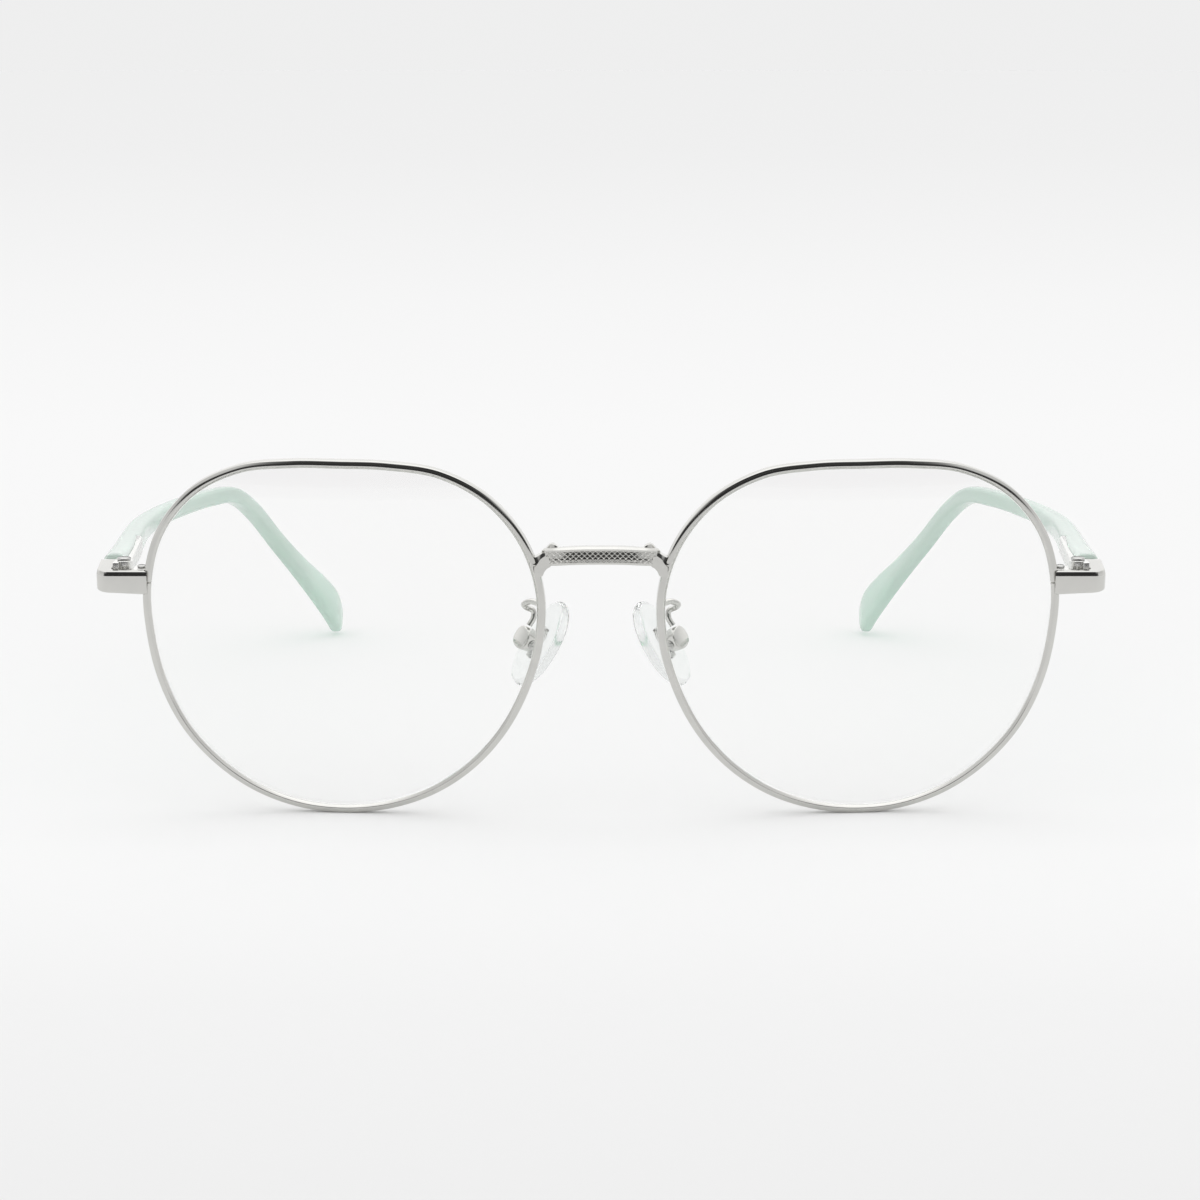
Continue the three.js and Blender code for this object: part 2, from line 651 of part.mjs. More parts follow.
// Pad frame: x runs from the nose outward through the pad, y runs back along the pad's width,
// z runs up its length. The pad's centre is the origin.
function padGroup() {
  const group = new THREE.Group();
  group.position.copy(PAD_CENTRE);
  group.rotation.set(0, -PAD_LEAN, -PAD_SPLAY, 'YZX');
  return group;
}

function padBodyGeometry() {
  const rings = 7;
  const outline = oval(1, 1, 14, 2.4);
  const body = sweep(outline, rings, (t) => {
    const s = 2 * t - 1;
    const bulge = Math.sqrt(1 - (0.96 * s) ** 2);
    const waist = 1 - 0.12 * t;
    return {
      centre: new THREE.Vector3(-0.25 * (1 - s * s), 0, s * PAD_LENGTH / 2),
      x: new THREE.Vector3(PAD_THICK * (0.35 + 0.65 * bulge), 0, 0),
      y: new THREE.Vector3(0, PAD_WIDTH * bulge * waist, 0),
    };
  });
  const slot = new THREE.BoxGeometry(
    INSERT_THICK + INSERT_ROOM, INSERT_WIDTH + INSERT_ROOM, INSERT_HEIGHT + INSERT_ROOM,
  ).translate(INSERT_X, 0, 0);
  const neck = new THREE.BoxGeometry(4, PAD_STUD_THICK + INSERT_ROOM, 2.0).translate(INSERT_X + 1.95, 0, 0);
  return cut(body, slot, neck);
}

const BOX_FROM = PAD_THICK / 2 + 0.6;
const PAD_PIVOT_X = BOX_FROM + PAD_BOX_DEPTH - 0.25 - EYE_RADIUS;

// The metal plate cast into the pad, with a stud whose eye turns on the pad screw.
function padInsertGeometry() {
  const half = PAD_STUD_THICK / 2;
  const plate = new THREE.BoxGeometry(INSERT_THICK, INSERT_WIDTH, INSERT_HEIGHT).translate(INSERT_X, 0, 0);
  const stud = prism(rectangle(0, -EYE_RADIUS, PAD_PIVOT_X, EYE_RADIUS), -half, half);
  const eye = prism(circle(PAD_PIVOT_X, 0, EYE_RADIUS), -half, half, 6);
  const hole = prism(circle(PAD_PIVOT_X, 0, PAD_HOLE_RADIUS), -2, 2, 6);
  return cut(
    join(plate, stud.rotateX(Math.PI / 2), eye.rotateX(Math.PI / 2)), hole.rotateX(Math.PI / 2),
  );
}

function padBoxGeometry() {
  const size = PAD_BOX_SIZE;
  const shell = prism(oval(size, size, 14, 2.6), BOX_FROM, BOX_FROM + PAD_BOX_DEPTH + 0.35)
    .rotateY(Math.PI / 2);
  const slot = new THREE.BoxGeometry(2 * PAD_BOX_DEPTH, PAD_STUD_THICK + 0.16, size - 0.7);
  slot.translate(BOX_FROM, 0, 0);
  const hole = prism(circle(PAD_PIVOT_X, 0, PAD_HOLE_RADIUS), -4, 4, 6).rotateX(Math.PI / 2);
  return cut(shell, slot, hole);
}

function padScrewGeometry() {
  const reach = PAD_BOX_SIZE / 2;
  const screw = slottedScrew(PAD_SCREW_RADIUS, 2 * reach - 0.1, 0.75, 0.35);
  screw.translate(0, 0, reach + SCREW_SEAT);
  screw.rotateX(Math.PI / 2);
  return screw.translate(PAD_PIVOT_X, 0, 0);
}

// The pad arm leaves the back of the rim, makes one loop outward and runs down to the pad box.
function padArmGeometry() {
  const path = [
    [8.2, 3.3, -8.6], [8.5, 4.6, -8.2], [9.6, 5.4, -8.0], [10.6, 5.9, -8.5], [10.4, 6.7, -9.2],
    [9.4, 6.9, -9.8], [9.35, 6.7, -10.7], [10.0, 6.32, -11.75],
  ];
  return wire(path.map((at) => new THREE.Vector3(...at)), ARM_RADIUS, 22);
}

// ---------------------------------------------------------------- assembly

function place(parent, name, geometry, material) {
  const mesh = new THREE.Mesh(geometry, material);
  mesh.name = name;
  parent.add(mesh);
  return mesh;
}

function buildSide(side) {
  const half = new THREE.Group();

  const front = new THREE.Group();
  front.rotation.x = FRONT_TILT;
  half.add(front);

  const wrapped = new THREE.Group();
  wrapped.position.copy(WRAP_PIVOT);
  wrapped.rotation.z = FACE_WRAP;
  front.add(wrapped);

  const eye = new THREE.Group();
  eye.position.copy(LENS_CENTRE).sub(WRAP_PIVOT);
  wrapped.add(eye);
  place(eye, `${side}_rim`, rimGeometry(), POLISHED_SILVER);
  place(eye, `${side}_lens`, lensGeometry(), LENS_CLEAR);

  const low = PLATE_Z - PLATE_HEIGHT / 2;
  const high = PLATE_Z + PLATE_HEIGHT / 2;
  place(front, `${side}_end_piece`, endPieceGeometry(), POLISHED_SILVER);
  const split = RIM_GAP / 2;
  place(front, `${side}_lock_block_upper`, lockBlockGeometry(PLATE_Z + split, high), SATIN_STEEL);
  place(front, `${side}_lock_block_lower`, lockBlockGeometry(low, PLATE_Z - split), SATIN_STEEL);
  const lockScrew = slottedScrew(LOCK_SCREW, PLATE_HEIGHT - 0.1, LOCK_HEAD, 0.35);
  lockScrew.translate(
    LOCK_INNER + LOCK_WIDTH / 2, PLATE_FRONT + PLATE_THICK + FIT_GAP + LOCK_DEPTH / 2, high + SCREW_SEAT,
  );
  place(front, `${side}_lock_screw`, lockScrew, SCREW_STEEL);

  place(front, `${side}_pad_arm`, padArmGeometry(), POLISHED_SILVER);
  const pad = padGroup();
  front.add(pad);
  place(pad, `${side}_pad_box`, padBoxGeometry(), POLISHED_SILVER);
  place(pad, `${side}_pad_screw`, padScrewGeometry(), SCREW_STEEL);
  place(pad, `${side}_nose_pad`, padBodyGeometry(), PAD_CLEAR);
  place(pad, `${side}_pad_insert`, padInsertGeometry(), SATIN_STEEL);

  const hinge = new THREE.Group();
  hinge.position.copy(HINGE);
  half.add(hinge);
  place(hinge, `${side}_hinge_front`, frontHingeGeometry(), SATIN_STEEL);
  place(hinge, `${side}_hinge_screw`, hingeScrewGeometry(), SCREW_STEEL);

  const spring = new THREE.Group();
  spring.rotation.z = -TEMPLE_FLARE;
  hinge.add(spring);
  place(spring, `${side}_spring_slider`, springSliderGeometry(), SATIN_STEEL);
  place(spring, `${side}_slider_spring`, sliderSpringGeometry(), SPRING_STEEL);
  const nut = rodRing(NUT_RADIUS, NUT_FROM, NUT_TO);
  place(spring, `${side}_slider_nut`, nut, SCREW_STEEL);
  const retainer = rodRing(RETAINER_RADIUS, RETAINER_FROM, RETAINER_TO);
  place(spring, `${side}_slider_retainer`, retainer, SATIN_STEEL);
  place(spring, `${side}_spring_housing`, springHousingGeometry(), SATIN_STEEL);

  place(half, `${side}_temple`, templeGeometry(), MINT_ACETATE);
  place(half, `${side}_core_wire`, coreGeometry(0, CORE_FROM, CORE_TO), SATIN_STEEL);
  return half;
}

const glasses = new THREE.Group();

const middle = new THREE.Group();
middle.rotation.x = FRONT_TILT;
place(middle, 'bridge', bridgeGeometry(), KNURLED_SILVER);
glasses.add(middle);

glasses.add(buildSide('left'));
const right = buildSide('right');
right.scale.x = -1;
glasses.add(right);

export default glasses;
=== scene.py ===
import json
import math

import bmesh
import bpy
from mathutils import Matrix, Vector


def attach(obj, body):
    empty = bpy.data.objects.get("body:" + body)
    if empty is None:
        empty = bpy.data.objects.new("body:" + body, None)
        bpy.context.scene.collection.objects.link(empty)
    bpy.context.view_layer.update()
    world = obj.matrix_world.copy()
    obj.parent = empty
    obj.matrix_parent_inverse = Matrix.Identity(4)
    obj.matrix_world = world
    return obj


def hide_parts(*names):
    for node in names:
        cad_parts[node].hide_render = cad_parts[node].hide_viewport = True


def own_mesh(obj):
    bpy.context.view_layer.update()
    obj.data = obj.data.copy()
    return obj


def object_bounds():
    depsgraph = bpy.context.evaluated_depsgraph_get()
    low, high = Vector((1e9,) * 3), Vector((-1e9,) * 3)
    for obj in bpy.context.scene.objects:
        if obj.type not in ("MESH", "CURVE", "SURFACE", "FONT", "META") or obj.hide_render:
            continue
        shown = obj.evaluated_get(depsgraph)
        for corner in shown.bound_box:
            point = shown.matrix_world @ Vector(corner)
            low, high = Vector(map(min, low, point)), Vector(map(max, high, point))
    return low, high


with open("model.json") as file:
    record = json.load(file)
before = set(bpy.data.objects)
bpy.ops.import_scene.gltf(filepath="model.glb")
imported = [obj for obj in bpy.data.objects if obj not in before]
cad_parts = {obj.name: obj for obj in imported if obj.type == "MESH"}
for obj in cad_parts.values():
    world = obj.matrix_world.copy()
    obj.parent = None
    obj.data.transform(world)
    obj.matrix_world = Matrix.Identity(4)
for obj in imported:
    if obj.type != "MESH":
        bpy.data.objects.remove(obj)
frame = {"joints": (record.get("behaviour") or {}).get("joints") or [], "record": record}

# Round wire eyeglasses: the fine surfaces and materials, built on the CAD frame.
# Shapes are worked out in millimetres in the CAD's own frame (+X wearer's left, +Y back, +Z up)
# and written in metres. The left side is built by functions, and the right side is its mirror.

CAD_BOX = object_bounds()
MM = 0.001
JOINTS = {joint["name"]: joint for joint in frame["joints"]}
BODY_OF = {
    node: body
    for body, nodes in frame["record"]["behaviour"]["bodies"].items()
    for node in nodes
}
SLOT_OF = {part["node"]: part["material_slot"] for part in frame["record"]["subparts"]}

# ------------------------------------------------------------------ driving dimensions (mm)

FRONT_TILT = math.radians(6)
FACE_WRAP = math.radians(4)
WRAP_PIVOT = Vector((8.5, 2, 0))
LENS_CENTRE = Vector((35.44, -0.8, -12.96))
LENS_BASE_RADIUS = 120
LENS_THICKNESS = 0.9
LENS_CHAMFER = 0.045
LENS_BEVEL = 0.12                       # half its width
BEVEL_GAP = 0.08                        # from its ridge to the groove's floor
RIM_REACH = [
    27.32, 28.55, 29.55, 29.41, 28.06, 26.18, 25.39, 26.09, 27.74, 28.87, 29.14, 28.63,
    27.51, 26.46, 25.89, 25.58, 25.38, 25.21, 25.21, 25.49, 25.81, 26.07, 26.43, 26.74,
]
RIM_WIDTH = 1.15
RIM_DEPTH = 1.7
GROOVE_DEPTH = 0.45
GROOVE_HALF = 0.16
RIM_GAP = 0.24
RIM_STEPS = 420
ROOM = 0.02                             # left round the rim where pieces meet it

BRIDGE_HEIGHT = 2.45
BRIDGE_Z = -0.12
BRIDGE_THICKNESS = 1.5
BRIDGE_HALF = 8.2
BRIDGE_FLAT = 1.5
BAR_REACH = 0.945                       # share of the half length, up to the shoulders
BRIDGE_SWEEP = 2.6
BRIDGE_RISE = 0.95
BEND_POWER = 3
ARCH_POWER = 2.2
KNURL_PITCH = 0.74                      # along the bar
KNURL_RISE = 0.70                       # between rows
KNURL_DEPTH = 0.13                      # of a cell's middle
KNURL_TILT = 0.34                       # upward slope of the cells' floors
KNURL_TURN = 0.5                        # inward slope of the floors of the end cells
KNURL_HALF = 7.75                       # half length of the knurled stretch
BAR_STEPS = 440                         # sections along the bar
FACE_ROWS = 56                          # rows down its knurled face
KNURL_LOW = -0.86
KNURL_HIGH = 0.76
FACE_BOW = 26                           # radius of the bar's rounded face
FACE_CREST = -0.45                      # height of its foremost line
FOOT_FRONT = 1.45
FOOT_BACK = 3.2
NOSE_STRETCH = (0.3, 0.52)              # share of the rim, from its split, by the bridge
SPLIT_STRETCH = 0.06                    # share of the rim behind the end piece

PLATE_HEIGHT = 3.3
PLATE_Z = -5.4
PLATE_LOW = PLATE_Z - PLATE_HEIGHT / 2
PLATE_HIGH = PLATE_Z + PLATE_HEIGHT / 2
PLATE_FRONT = 5.0
PLATE_THICK = 1.3
PLATE_TAPER = 0.35                      # the lower edge rises towards the corner
PLATE_INNER = 62.3                      # runs on over the rim's outer side
STRAP_OUTER = 69.4
STRAP_THICK = 2.1
STRAP_INNER = STRAP_OUTER - STRAP_THICK
STRAP_END = 12.2
STRAP_SLANT = 0.4
STRAP_LEAN = 0.25
CORNER_RADIUS = 1.9
FILLET_RADIUS = 0.5
FACET_HEIGHT = 0.62                     # of the slanted top of the outer face
FACET_DEPTH = 0.17
END_EDGE = 0.1                          # broken edge at each end of the swept section
BEND_STEPS = 14
STRAP_STEPS = 8

LOCK_INNER = 62.05
LOCK_WIDTH = 2.3
LOCK_DEPTH = 1.95
LOCK_HOLE = 0.5
LOCK_SCREW = 0.42
LOCK_HEAD = 0.6
FIT_GAP = 0.05
LENS_GAP = 0.02
SCREW_SEAT = 0.03

HINGE = Vector(JOINTS["left_temple_hinge"]["pos_m"]) / MM
TEMPLE_FLARE = math.atan2(*JOINTS["left_spring_slide"]["axis"][:2])
KNUCKLE_RADIUS = 1.25
KNUCKLE_HEIGHT = 1.15
KNUCKLE_GAP = 0.08
KNUCKLE_CLEARANCE = 0.12
BARREL_HALF = 1.5 * KNUCKLE_HEIGHT + KNUCKLE_GAP
PIN_HOLE = 0.6
PIN_RADIUS = 0.53
LEAF_THICK = 0.85
LEAF_REACH = 2.3
LEAF_TAIL = 0.4
SHANK_WIDTH = 0.7
SHANK_X = 0.3
SHANK_OVERLAP = 1.0
HOUSING_FRONT = 3.55
HOUSING_LENGTH = 20
HOUSING_WIDTH = 2.0
HOUSING_HEIGHT = 2.5
HOUSING_INNER = SHANK_X - HOUSING_WIDTH / 2
CHANNEL_RADIUS = 0.72
CHANNEL_DEPTH = 14.5
ROD_RADIUS = 0.3
ROD_LENGTH = 12.4
ROD_CLEARANCE = 0.04
RING_THICK = 0.95
RETAINER_RADIUS = 0.68
NUT_RADIUS = 0.62
SPRING_RADIUS = 0.52
SPRING_WIRE = 0.09
SPRING_TURNS = 8
SPRING_REST = 0.03
NOTCH_DEPTH = 1.6

TEMPLE_FRONT = 13.15
CORE_WIDTH = 1.3
CORE_HEIGHT = 0.9
CORE_CLEARANCE = 0.07
CORE_FROM = 0.133
CORE_TO = 0.80
TIP_FROM = 0.955
TEMPLE_EDGE = 0.3                       # rounding of the front end
TEMPLE_STEPS = 260
CORE_STEPS = 200

PAD_LENGTH = 13.3
PAD_WIDTH = 7.4
PAD_THICK = 2.5
PAD_CENTRE = Vector((8.45, 7.5, -14.75))
PAD_LEAN = math.radians(31)
PAD_SPLAY = math.radians(32)
PAD_BOX_SIZE = 3.1
PAD_BOX_DEPTH = 1.5
PAD_STUD_THICK = 1.1
PAD_SCREW_RADIUS = 0.4
PAD_HOLE_RADIUS = 0.46
INSERT_X = 0.25
INSERT_THICK = 0.6
INSERT_WIDTH = 1.8
INSERT_HEIGHT = 4.8
EYE_RADIUS = 0.8
BOX_FROM = PAD_THICK / 2 + 0.6
PAD_PIVOT_X = BOX_FROM + PAD_BOX_DEPTH - 0.25 - EYE_RADIUS
ARM_RADIUS = 0.42

# ------------------------------------------------------------------ places (mm)

FRONT = Matrix.Rotation(FRONT_TILT, 4, "X")
EYE = (
    FRONT @ Matrix.Translation(WRAP_PIVOT) @ Matrix.Rotation(FACE_WRAP, 4, "Z")
    @ Matrix.Translation(LENS_CENTRE - WRAP_PIVOT)
)
BARREL = Matrix.Translation(HINGE)
SPRING = BARREL @ Matrix.Rotation(-TEMPLE_FLARE, 4, "Z")
PAD = (
    FRONT @ Matrix.Translation(PAD_CENTRE)
    @ Matrix.Rotation(-PAD_LEAN, 4, "Y") @ Matrix.Rotation(-PAD_SPLAY, 4, "Z")
)
ROW = Matrix.Identity(4)
MIRROR = Matrix.Scale(-1, 4, (1, 0, 0))
ALONG_Y = Matrix.Rotation(-math.pi / 2, 4, "X")     # these two carry Z on to the axis
ALONG_X = Matrix.Rotation(math.pi / 2, 4, "Y")
UPRIGHT = Matrix.Rotation(math.pi / 2, 4, "X")      # carries Y on to Z


# ------------------------------------------------------------------ curves and outlines

def catmull(p0, p1, p2, p3, t0, t1, t2, t3, w):
    """A point and its direction between p1 and p2, with the knots' spacings t0..t3."""
    m1 = (p1 - p0) / (t1 - t0) - (p2 - p0) / (t2 - t0) + (p2 - p1) / (t2 - t1)
    m2 = (p2 - p1) / (t2 - t1) - (p3 - p1) / (t3 - t1) + (p3 - p2) / (t3 - t2)
    m1 = m1 * (t2 - t1)
    m2 = m2 * (t2 - t1)
    c2 = -3 * p1 + 3 * p2 - 2 * m1 - m2
    c3 = 2 * p1 - 2 * p2 + m1 + m2
    point = p1 + m1 * w + c2 * w ** 2 + c3 * w ** 3
    slope = m1 + 2 * c2 * w + 3 * c3 * w ** 2
    return point, slope


class Curve:
    """A smooth curve through points. power 0 spaces its knots evenly, 0.25 is centripetal."""

    def __init__(self, points, closed=False, power=0.25):
        self.points = [Vector(p) for p in points]
        self.closed = closed
        self.power = power

    def at(self, t):
        n = len(self.points)
        spans = n if self.closed else n - 1
        place = min(max(t, 0), 1) * spans if not self.closed else (t % 1) * spans
        i = min(int(place), spans - 1)
        w = place - i
        if self.closed:
            near = [self.points[(i + k) % n] for k in (-1, 0, 1, 2)]
        else:
            p = self.points
            first = p[i - 1] if i > 0 else 2 * p[0] - p[1]
            last = p[i + 2] if i + 2 < n else 2 * p[-1] - p[-2]
            near = [first, p[i], p[i + 1], last]
        knots = [0.0]
        for a, b in zip(near, near[1:]):
            knots.append(knots[-1] + max((b - a).length_squared, 1e-8) ** self.power)
        return catmull(*near, *knots, w)


def evenly(curve, count, start=0.0, stop=1.0):
    """Values of t between start and stop that cut the curve into equal lengths."""
    fine = 1200
    ts = [start + (stop - start) * i / fine for i in range(fine + 1)]
    lengths = [0.0]
    before = curve.at(ts[0])[0]
    for t in ts[1:]:
        point = curve.at(t)[0]
        lengths.append(lengths[-1] + (point - before).length)
        before = point
    found = []
    k = 0
    for i in range(count + 1):
        want = lengths[-1] * i / count
        while k < fine - 1 and lengths[k + 1] < want:
            k += 1
        part = (want - lengths[k]) / max(lengths[k + 1] - lengths[k], 1e-12)
        found.append(ts[k] + (ts[k + 1] - ts[k]) * part)
    return found


def oval(width, height, count, power=2.0):
    """A rounded outline, anticlockwise: power 2 is an ellipse, and larger powers are squarer."""
    points = []
    for i in range(count):
        angle = 2 * math.pi * (i + 0.5) / count
        c, s = math.cos(angle), math.sin(angle)
        points.append((
            math.copysign(width / 2 * abs(c) ** (2 / power), c),
            math.copysign(height / 2 * abs(s) ** (2 / power), s),
        ))
    return points


def circle(x, y, radius, count=40):
    return [(x + px, y + py) for px, py in oval(2 * radius, 2 * radius, count)]


def rounded(corners, steps=5):
    """An outline with round corners, from corners given as (x, y, radius)."""
    points = []
    count = len(corners)
    for i, (x, y, radius) in enumerate(corners):
        here = Vector((x, y))
        if radius == 0:
            points.append((x, y))
            continue
        back = (Vector(corners[i - 1][:2]) - here).normalized()
        on = (Vector(corners[(i + 1) % count][:2]) - here).normalized()
        half = back.angle(on) / 2
        centre = here + (back + on).normalized() * (radius / math.sin(half))
        a = here + back * (radius / math.tan(half)) - centre
        b = here + on * (radius / math.tan(half)) - centre
        sweep_angle = a.angle_signed(b)
        for k in range(steps + 1):
            turn = Matrix.Rotation(-sweep_angle * k / steps, 2)
            p = centre + turn @ a
            points.append((p.x, p.y))
    return points


def box_outline(x0, y0, x1, y1, radius):
    return rounded([(x0, y0, radius), (x1, y0, radius), (x1, y1, radius), (x0, y1, radius)])


def inset(outline, distance):
    """The outline moved inward by a distance, along the normal at each point."""
    moved = []
    count = len(outline)
    for i in range(count):
        a, b, c = (Vector(outline[(i + k) % count]) for k in (-1, 0, 1))
        before = (b - a).normalized()
        after = (c - b).normalized()
        normal = Vector((-(before.y + after.y), before.x + after.x))
        if normal.length < 1e-9:
            normal = Vector((-before.y, before.x))
        normal.normalize()
        spread = max(0.5, normal.dot(Vector((-before.y, before.x))))
        p = b + normal * (distance / spread)
        moved.append((p.x, p.y))
    return moved


# ------------------------------------------------------------------ solids, in millimetres

def solid(rings, closed=False, capped=True):
    """Joins rings of points, each a list of the same length, into one closed shell."""
    verts = [Vector(p) for ring in rings for p in ring]
    count = len(rings[0])
    faces = []
    spans = len(rings) if closed else len(rings) - 1
    for i in range(spans):
        a = i * count
        b = ((i + 1) % len(rings)) * count
        for k in range(count):
            m = (k + 1) % count
            faces.append((a + k, a + m, b + m, b + k))
    if capped and not closed:
        faces.append(tuple(reversed(range(count))))
        faces.append(tuple(range(len(verts) - count, len(verts))))
    return verts, faces


def prism(outline, low, high, edge=0.0, steps=3):
    """A straight solid along Z, with its two rims rounded by edge."""
    if edge == 0:
        return solid([[(x, y, z) for x, y in outline] for z in (low, high)])
    layers = []
    for k in range(steps + 1):
        angle = math.pi / 2 * k / steps
        layers.append((edge * (1 - math.sin(angle)), edge * (1 - math.cos(angle))))
    rings = [[(x, y, low + rise) for x, y in inset(outline, move)] for move, rise in layers]
    rings += [
        [(x, y, high - rise) for x, y in inset(outline, move)] for move, rise in reversed(layers)
    ]
    return solid(rings)


def lathe_rings(pairs, segments=40):
    """Rings round Z from (radius, height) pairs."""
    angles = [2 * math.pi * i / segments for i in range(segments)]
    return [[(r * math.cos(a), r * math.sin(a), h) for a in angles] for r, h in pairs]


def turned(pairs):
    """A turned piece on Z, from (radius, height) pairs. Radius 0 ends close on the axis."""
    return solid(lathe_rings([(max(radius, 1e-3), height) for radius, height in pairs]))


def ring_solid(inner, outer, low, high, edge=0.05):
    """A plain ring on Z with its edges broken."""
    return solid(lathe_rings([
        (inner, low + edge), (inner + edge, low), (outer - edge, low), (outer, low + edge),
        (outer, high - edge), (outer - edge, high), (inner + edge, high), (inner, high - edge),
    ]), closed=True)


def swept(outline, stations):
    """A flat outline carried along stations of (centre, x, y)."""
    return solid([[c + x * px + y * py for px, py in outline] for c, x, y in stations])


def carried(points, count, level, power=0.25):
    """Stations along a smooth path, with x kept as close to level as it can be."""
    path = Curve(points, power=power)
    level = Vector(level).normalized()
    stations = []
    for t in evenly(path, count):
        centre, along = path.at(t)
        along.normalize()
        y = along.cross(level).normalized()
        x = y.cross(along).normalized()
        stations.append((centre, x, y))
    return stations


def object_from(shape, name="tool"):
    verts, faces = shape
    mesh = bpy.data.meshes.new(name)
    mesh.from_pydata([tuple(v) for v in verts], [], faces)
    work = bmesh.new()
    work.from_mesh(mesh)
    bmesh.ops.recalc_face_normals(work, faces=work.faces)
    work.to_mesh(mesh)
    work.free()
    thing = bpy.data.objects.new(name, mesh)
    bpy.context.scene.collection.objects.link(thing)
    return thing


def moved(shape, matrix):
    verts, faces = shape
    return [matrix @ Vector(v) for v in verts], faces


def combined(shape, *tools, operation="DIFFERENCE"):
    """Cuts the tools from the shape, or joins them to it."""
    base = object_from(shape)
    others = [object_from(tool) for tool in tools]
    for other in others:
        cut = base.modifiers.new("boolean", "BOOLEAN")
        cut.object = other
        cut.operation = operation
        cut.solver = "EXACT"
    graph = bpy.context.evaluated_depsgraph_get()
    mesh = bpy.data.meshes.new_from_object(base.evaluated_get(graph))
    result = [v.co.copy() for v in mesh.vertices], [tuple(p.vertices) for p in mesh.polygons]
    for thing in [base] + others:
        old = thing.data
        bpy.data.objects.remove(thing)
        bpy.data.meshes.remove(old)
    bpy.data.meshes.remove(mesh)
    return result


def joined(shape, *others):
    return combined(shape, *others, operation="UNION")


SMOOTH_UNDER = math.radians(32)
WELD_UNDER = MM * 1e-4


def surface(node, shape, place, mirrored=False):
    """The visible surface that stands for a CAD node, in metres in the row's frame."""
    matrix = Matrix.Scale(MM, 4) @ (MIRROR if mirrored else ROW) @ place
    piece = object_from(moved(shape, matrix), node + "_surface")
    work = bmesh.new()
    work.from_mesh(piece.data)
    bmesh.ops.remove_doubles(work, verts=work.verts, dist=WELD_UNDER)
    bmesh.ops.recalc_face_normals(work, faces=work.faces)
    work.to_mesh(piece.data)
    work.free()
    for polygon in piece.data.polygons:
        polygon.use_smooth = True
    piece.data.set_sharp_from_angle(angle=SMOOTH_UNDER)
    slot = SLOT_OF[node]
    piece.data.materials.append(MATERIALS[slot])
    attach(piece, BODY_OF[node])
    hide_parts(node)
    return piece


def screw(shank, length, head, rise):
    """A screw on Z with a domed head and a straight slot. rise is the head's height."""
    body = turned([
        (0, -length), (shank - 0.06, -length), (shank, -length + 0.06), (shank, 0),
        (head - 0.05, 0), (head, 0.05), (head, rise * 0.45), (head * 0.97, rise * 0.6),
        (head * 0.86, rise * 0.8), (head * 0.66, rise * 0.94), (head * 0.3, rise), (0, rise),
    ])
    half = head * 0.15
    slot = prism(box_outline(-head * 1.3, -half, head * 1.3, half, 0.01), rise * 0.42, rise + 1)
    return combined(body, slot)


# ------------------------------------------------------------------ rim and lens

def rim_outline(gap):
    count = len(RIM_REACH)
    points = []
    for i, reach in enumerate(RIM_REACH):
        angle = 2 * math.pi * i / count
        points.append(((reach - gap) * math.cos(angle), 0, (reach - gap) * math.sin(angle)))
    return Curve(points, closed=True, power=0)


def base_curve(x, z):
    """How far back the lens's front curve lies at a place on it."""
    return (x * x + z * z) / (2 * LENS_BASE_RADIUS)


SPLIT_AT = math.asin((PLATE_Z - LENS_CENTRE.z) / (RIM_REACH[0] + 0.6)) / (2 * math.pi)


def rim_profile():
    """The eyewire's section: x points outward, y points back.

    A crowned outer facet and an inner bevel meet in a ridge along the front."""
    half = RIM_WIDTH / 2
    back = RIM_DEPTH / 2
    return rounded([
        (-half, -GROOVE_HALF, 0.03),
        (-half, -back * 0.5, 0.04),
        (-half * 0.34, -back + 0.01, 0.25),
        (half * 0.35, -back * 0.955, 1.2),
        (half * 0.87, -back * 0.875, 0.1),
        (half, -back * 0.6, 0.3),
        (half, back * 0.45, 0.5),
        (half * 0.6, back * 0.92, 0.3),
        (-half * 0.3, back, 0.3),
        (-half, back * 0.86, 0.1),
        (-half, GROOVE_HALF, 0.03),
        (-half + GROOVE_DEPTH, 0, 0.05),
    ], 5)


def along_rim(outline, steps, start=0.0, stop=1.0):
    """Carries a section along part of the rim, from its split, bent to the base curve."""
    middle = rim_outline(RIM_WIDTH / 2)
    fine = 600
    points = [middle.at(i / fine)[0] for i in range(fine + 1)]
    length = sum((b - a).length for a, b in zip(points, points[1:]))
    gap = RIM_GAP / length / 2
    stations = []
    for i in range(steps + 1):
        share = start + (stop - start) * i / steps
        centre, along = middle.at(SPLIT_AT + gap + share * (1 - 2 * gap))
        along.normalize()
        stations.append((centre, Vector((along.z, 0, -along.x)), Vector((0, 1, 0))))
    verts, faces = swept(outline, stations)
    for v in verts:
        v.y += base_curve(v.x, v.z)
    return verts, faces


def rim_shape():
    return along_rim(rim_profile(), RIM_STEPS)


def rim_room(start, stop):
    """The space that a stretch of the rim takes, in the front's frame."""
    half = RIM_WIDTH / 2 + ROOM
    back = RIM_DEPTH / 2 + ROOM
    inward = -half - 3
    outline = [(inward, -back), (half, -back), (half, back), (inward, back)]
    steps = max(4, round(160 * (stop - start)))
    return moved(along_rim(outline, steps, start, stop), FRONT.inverted() @ EYE)


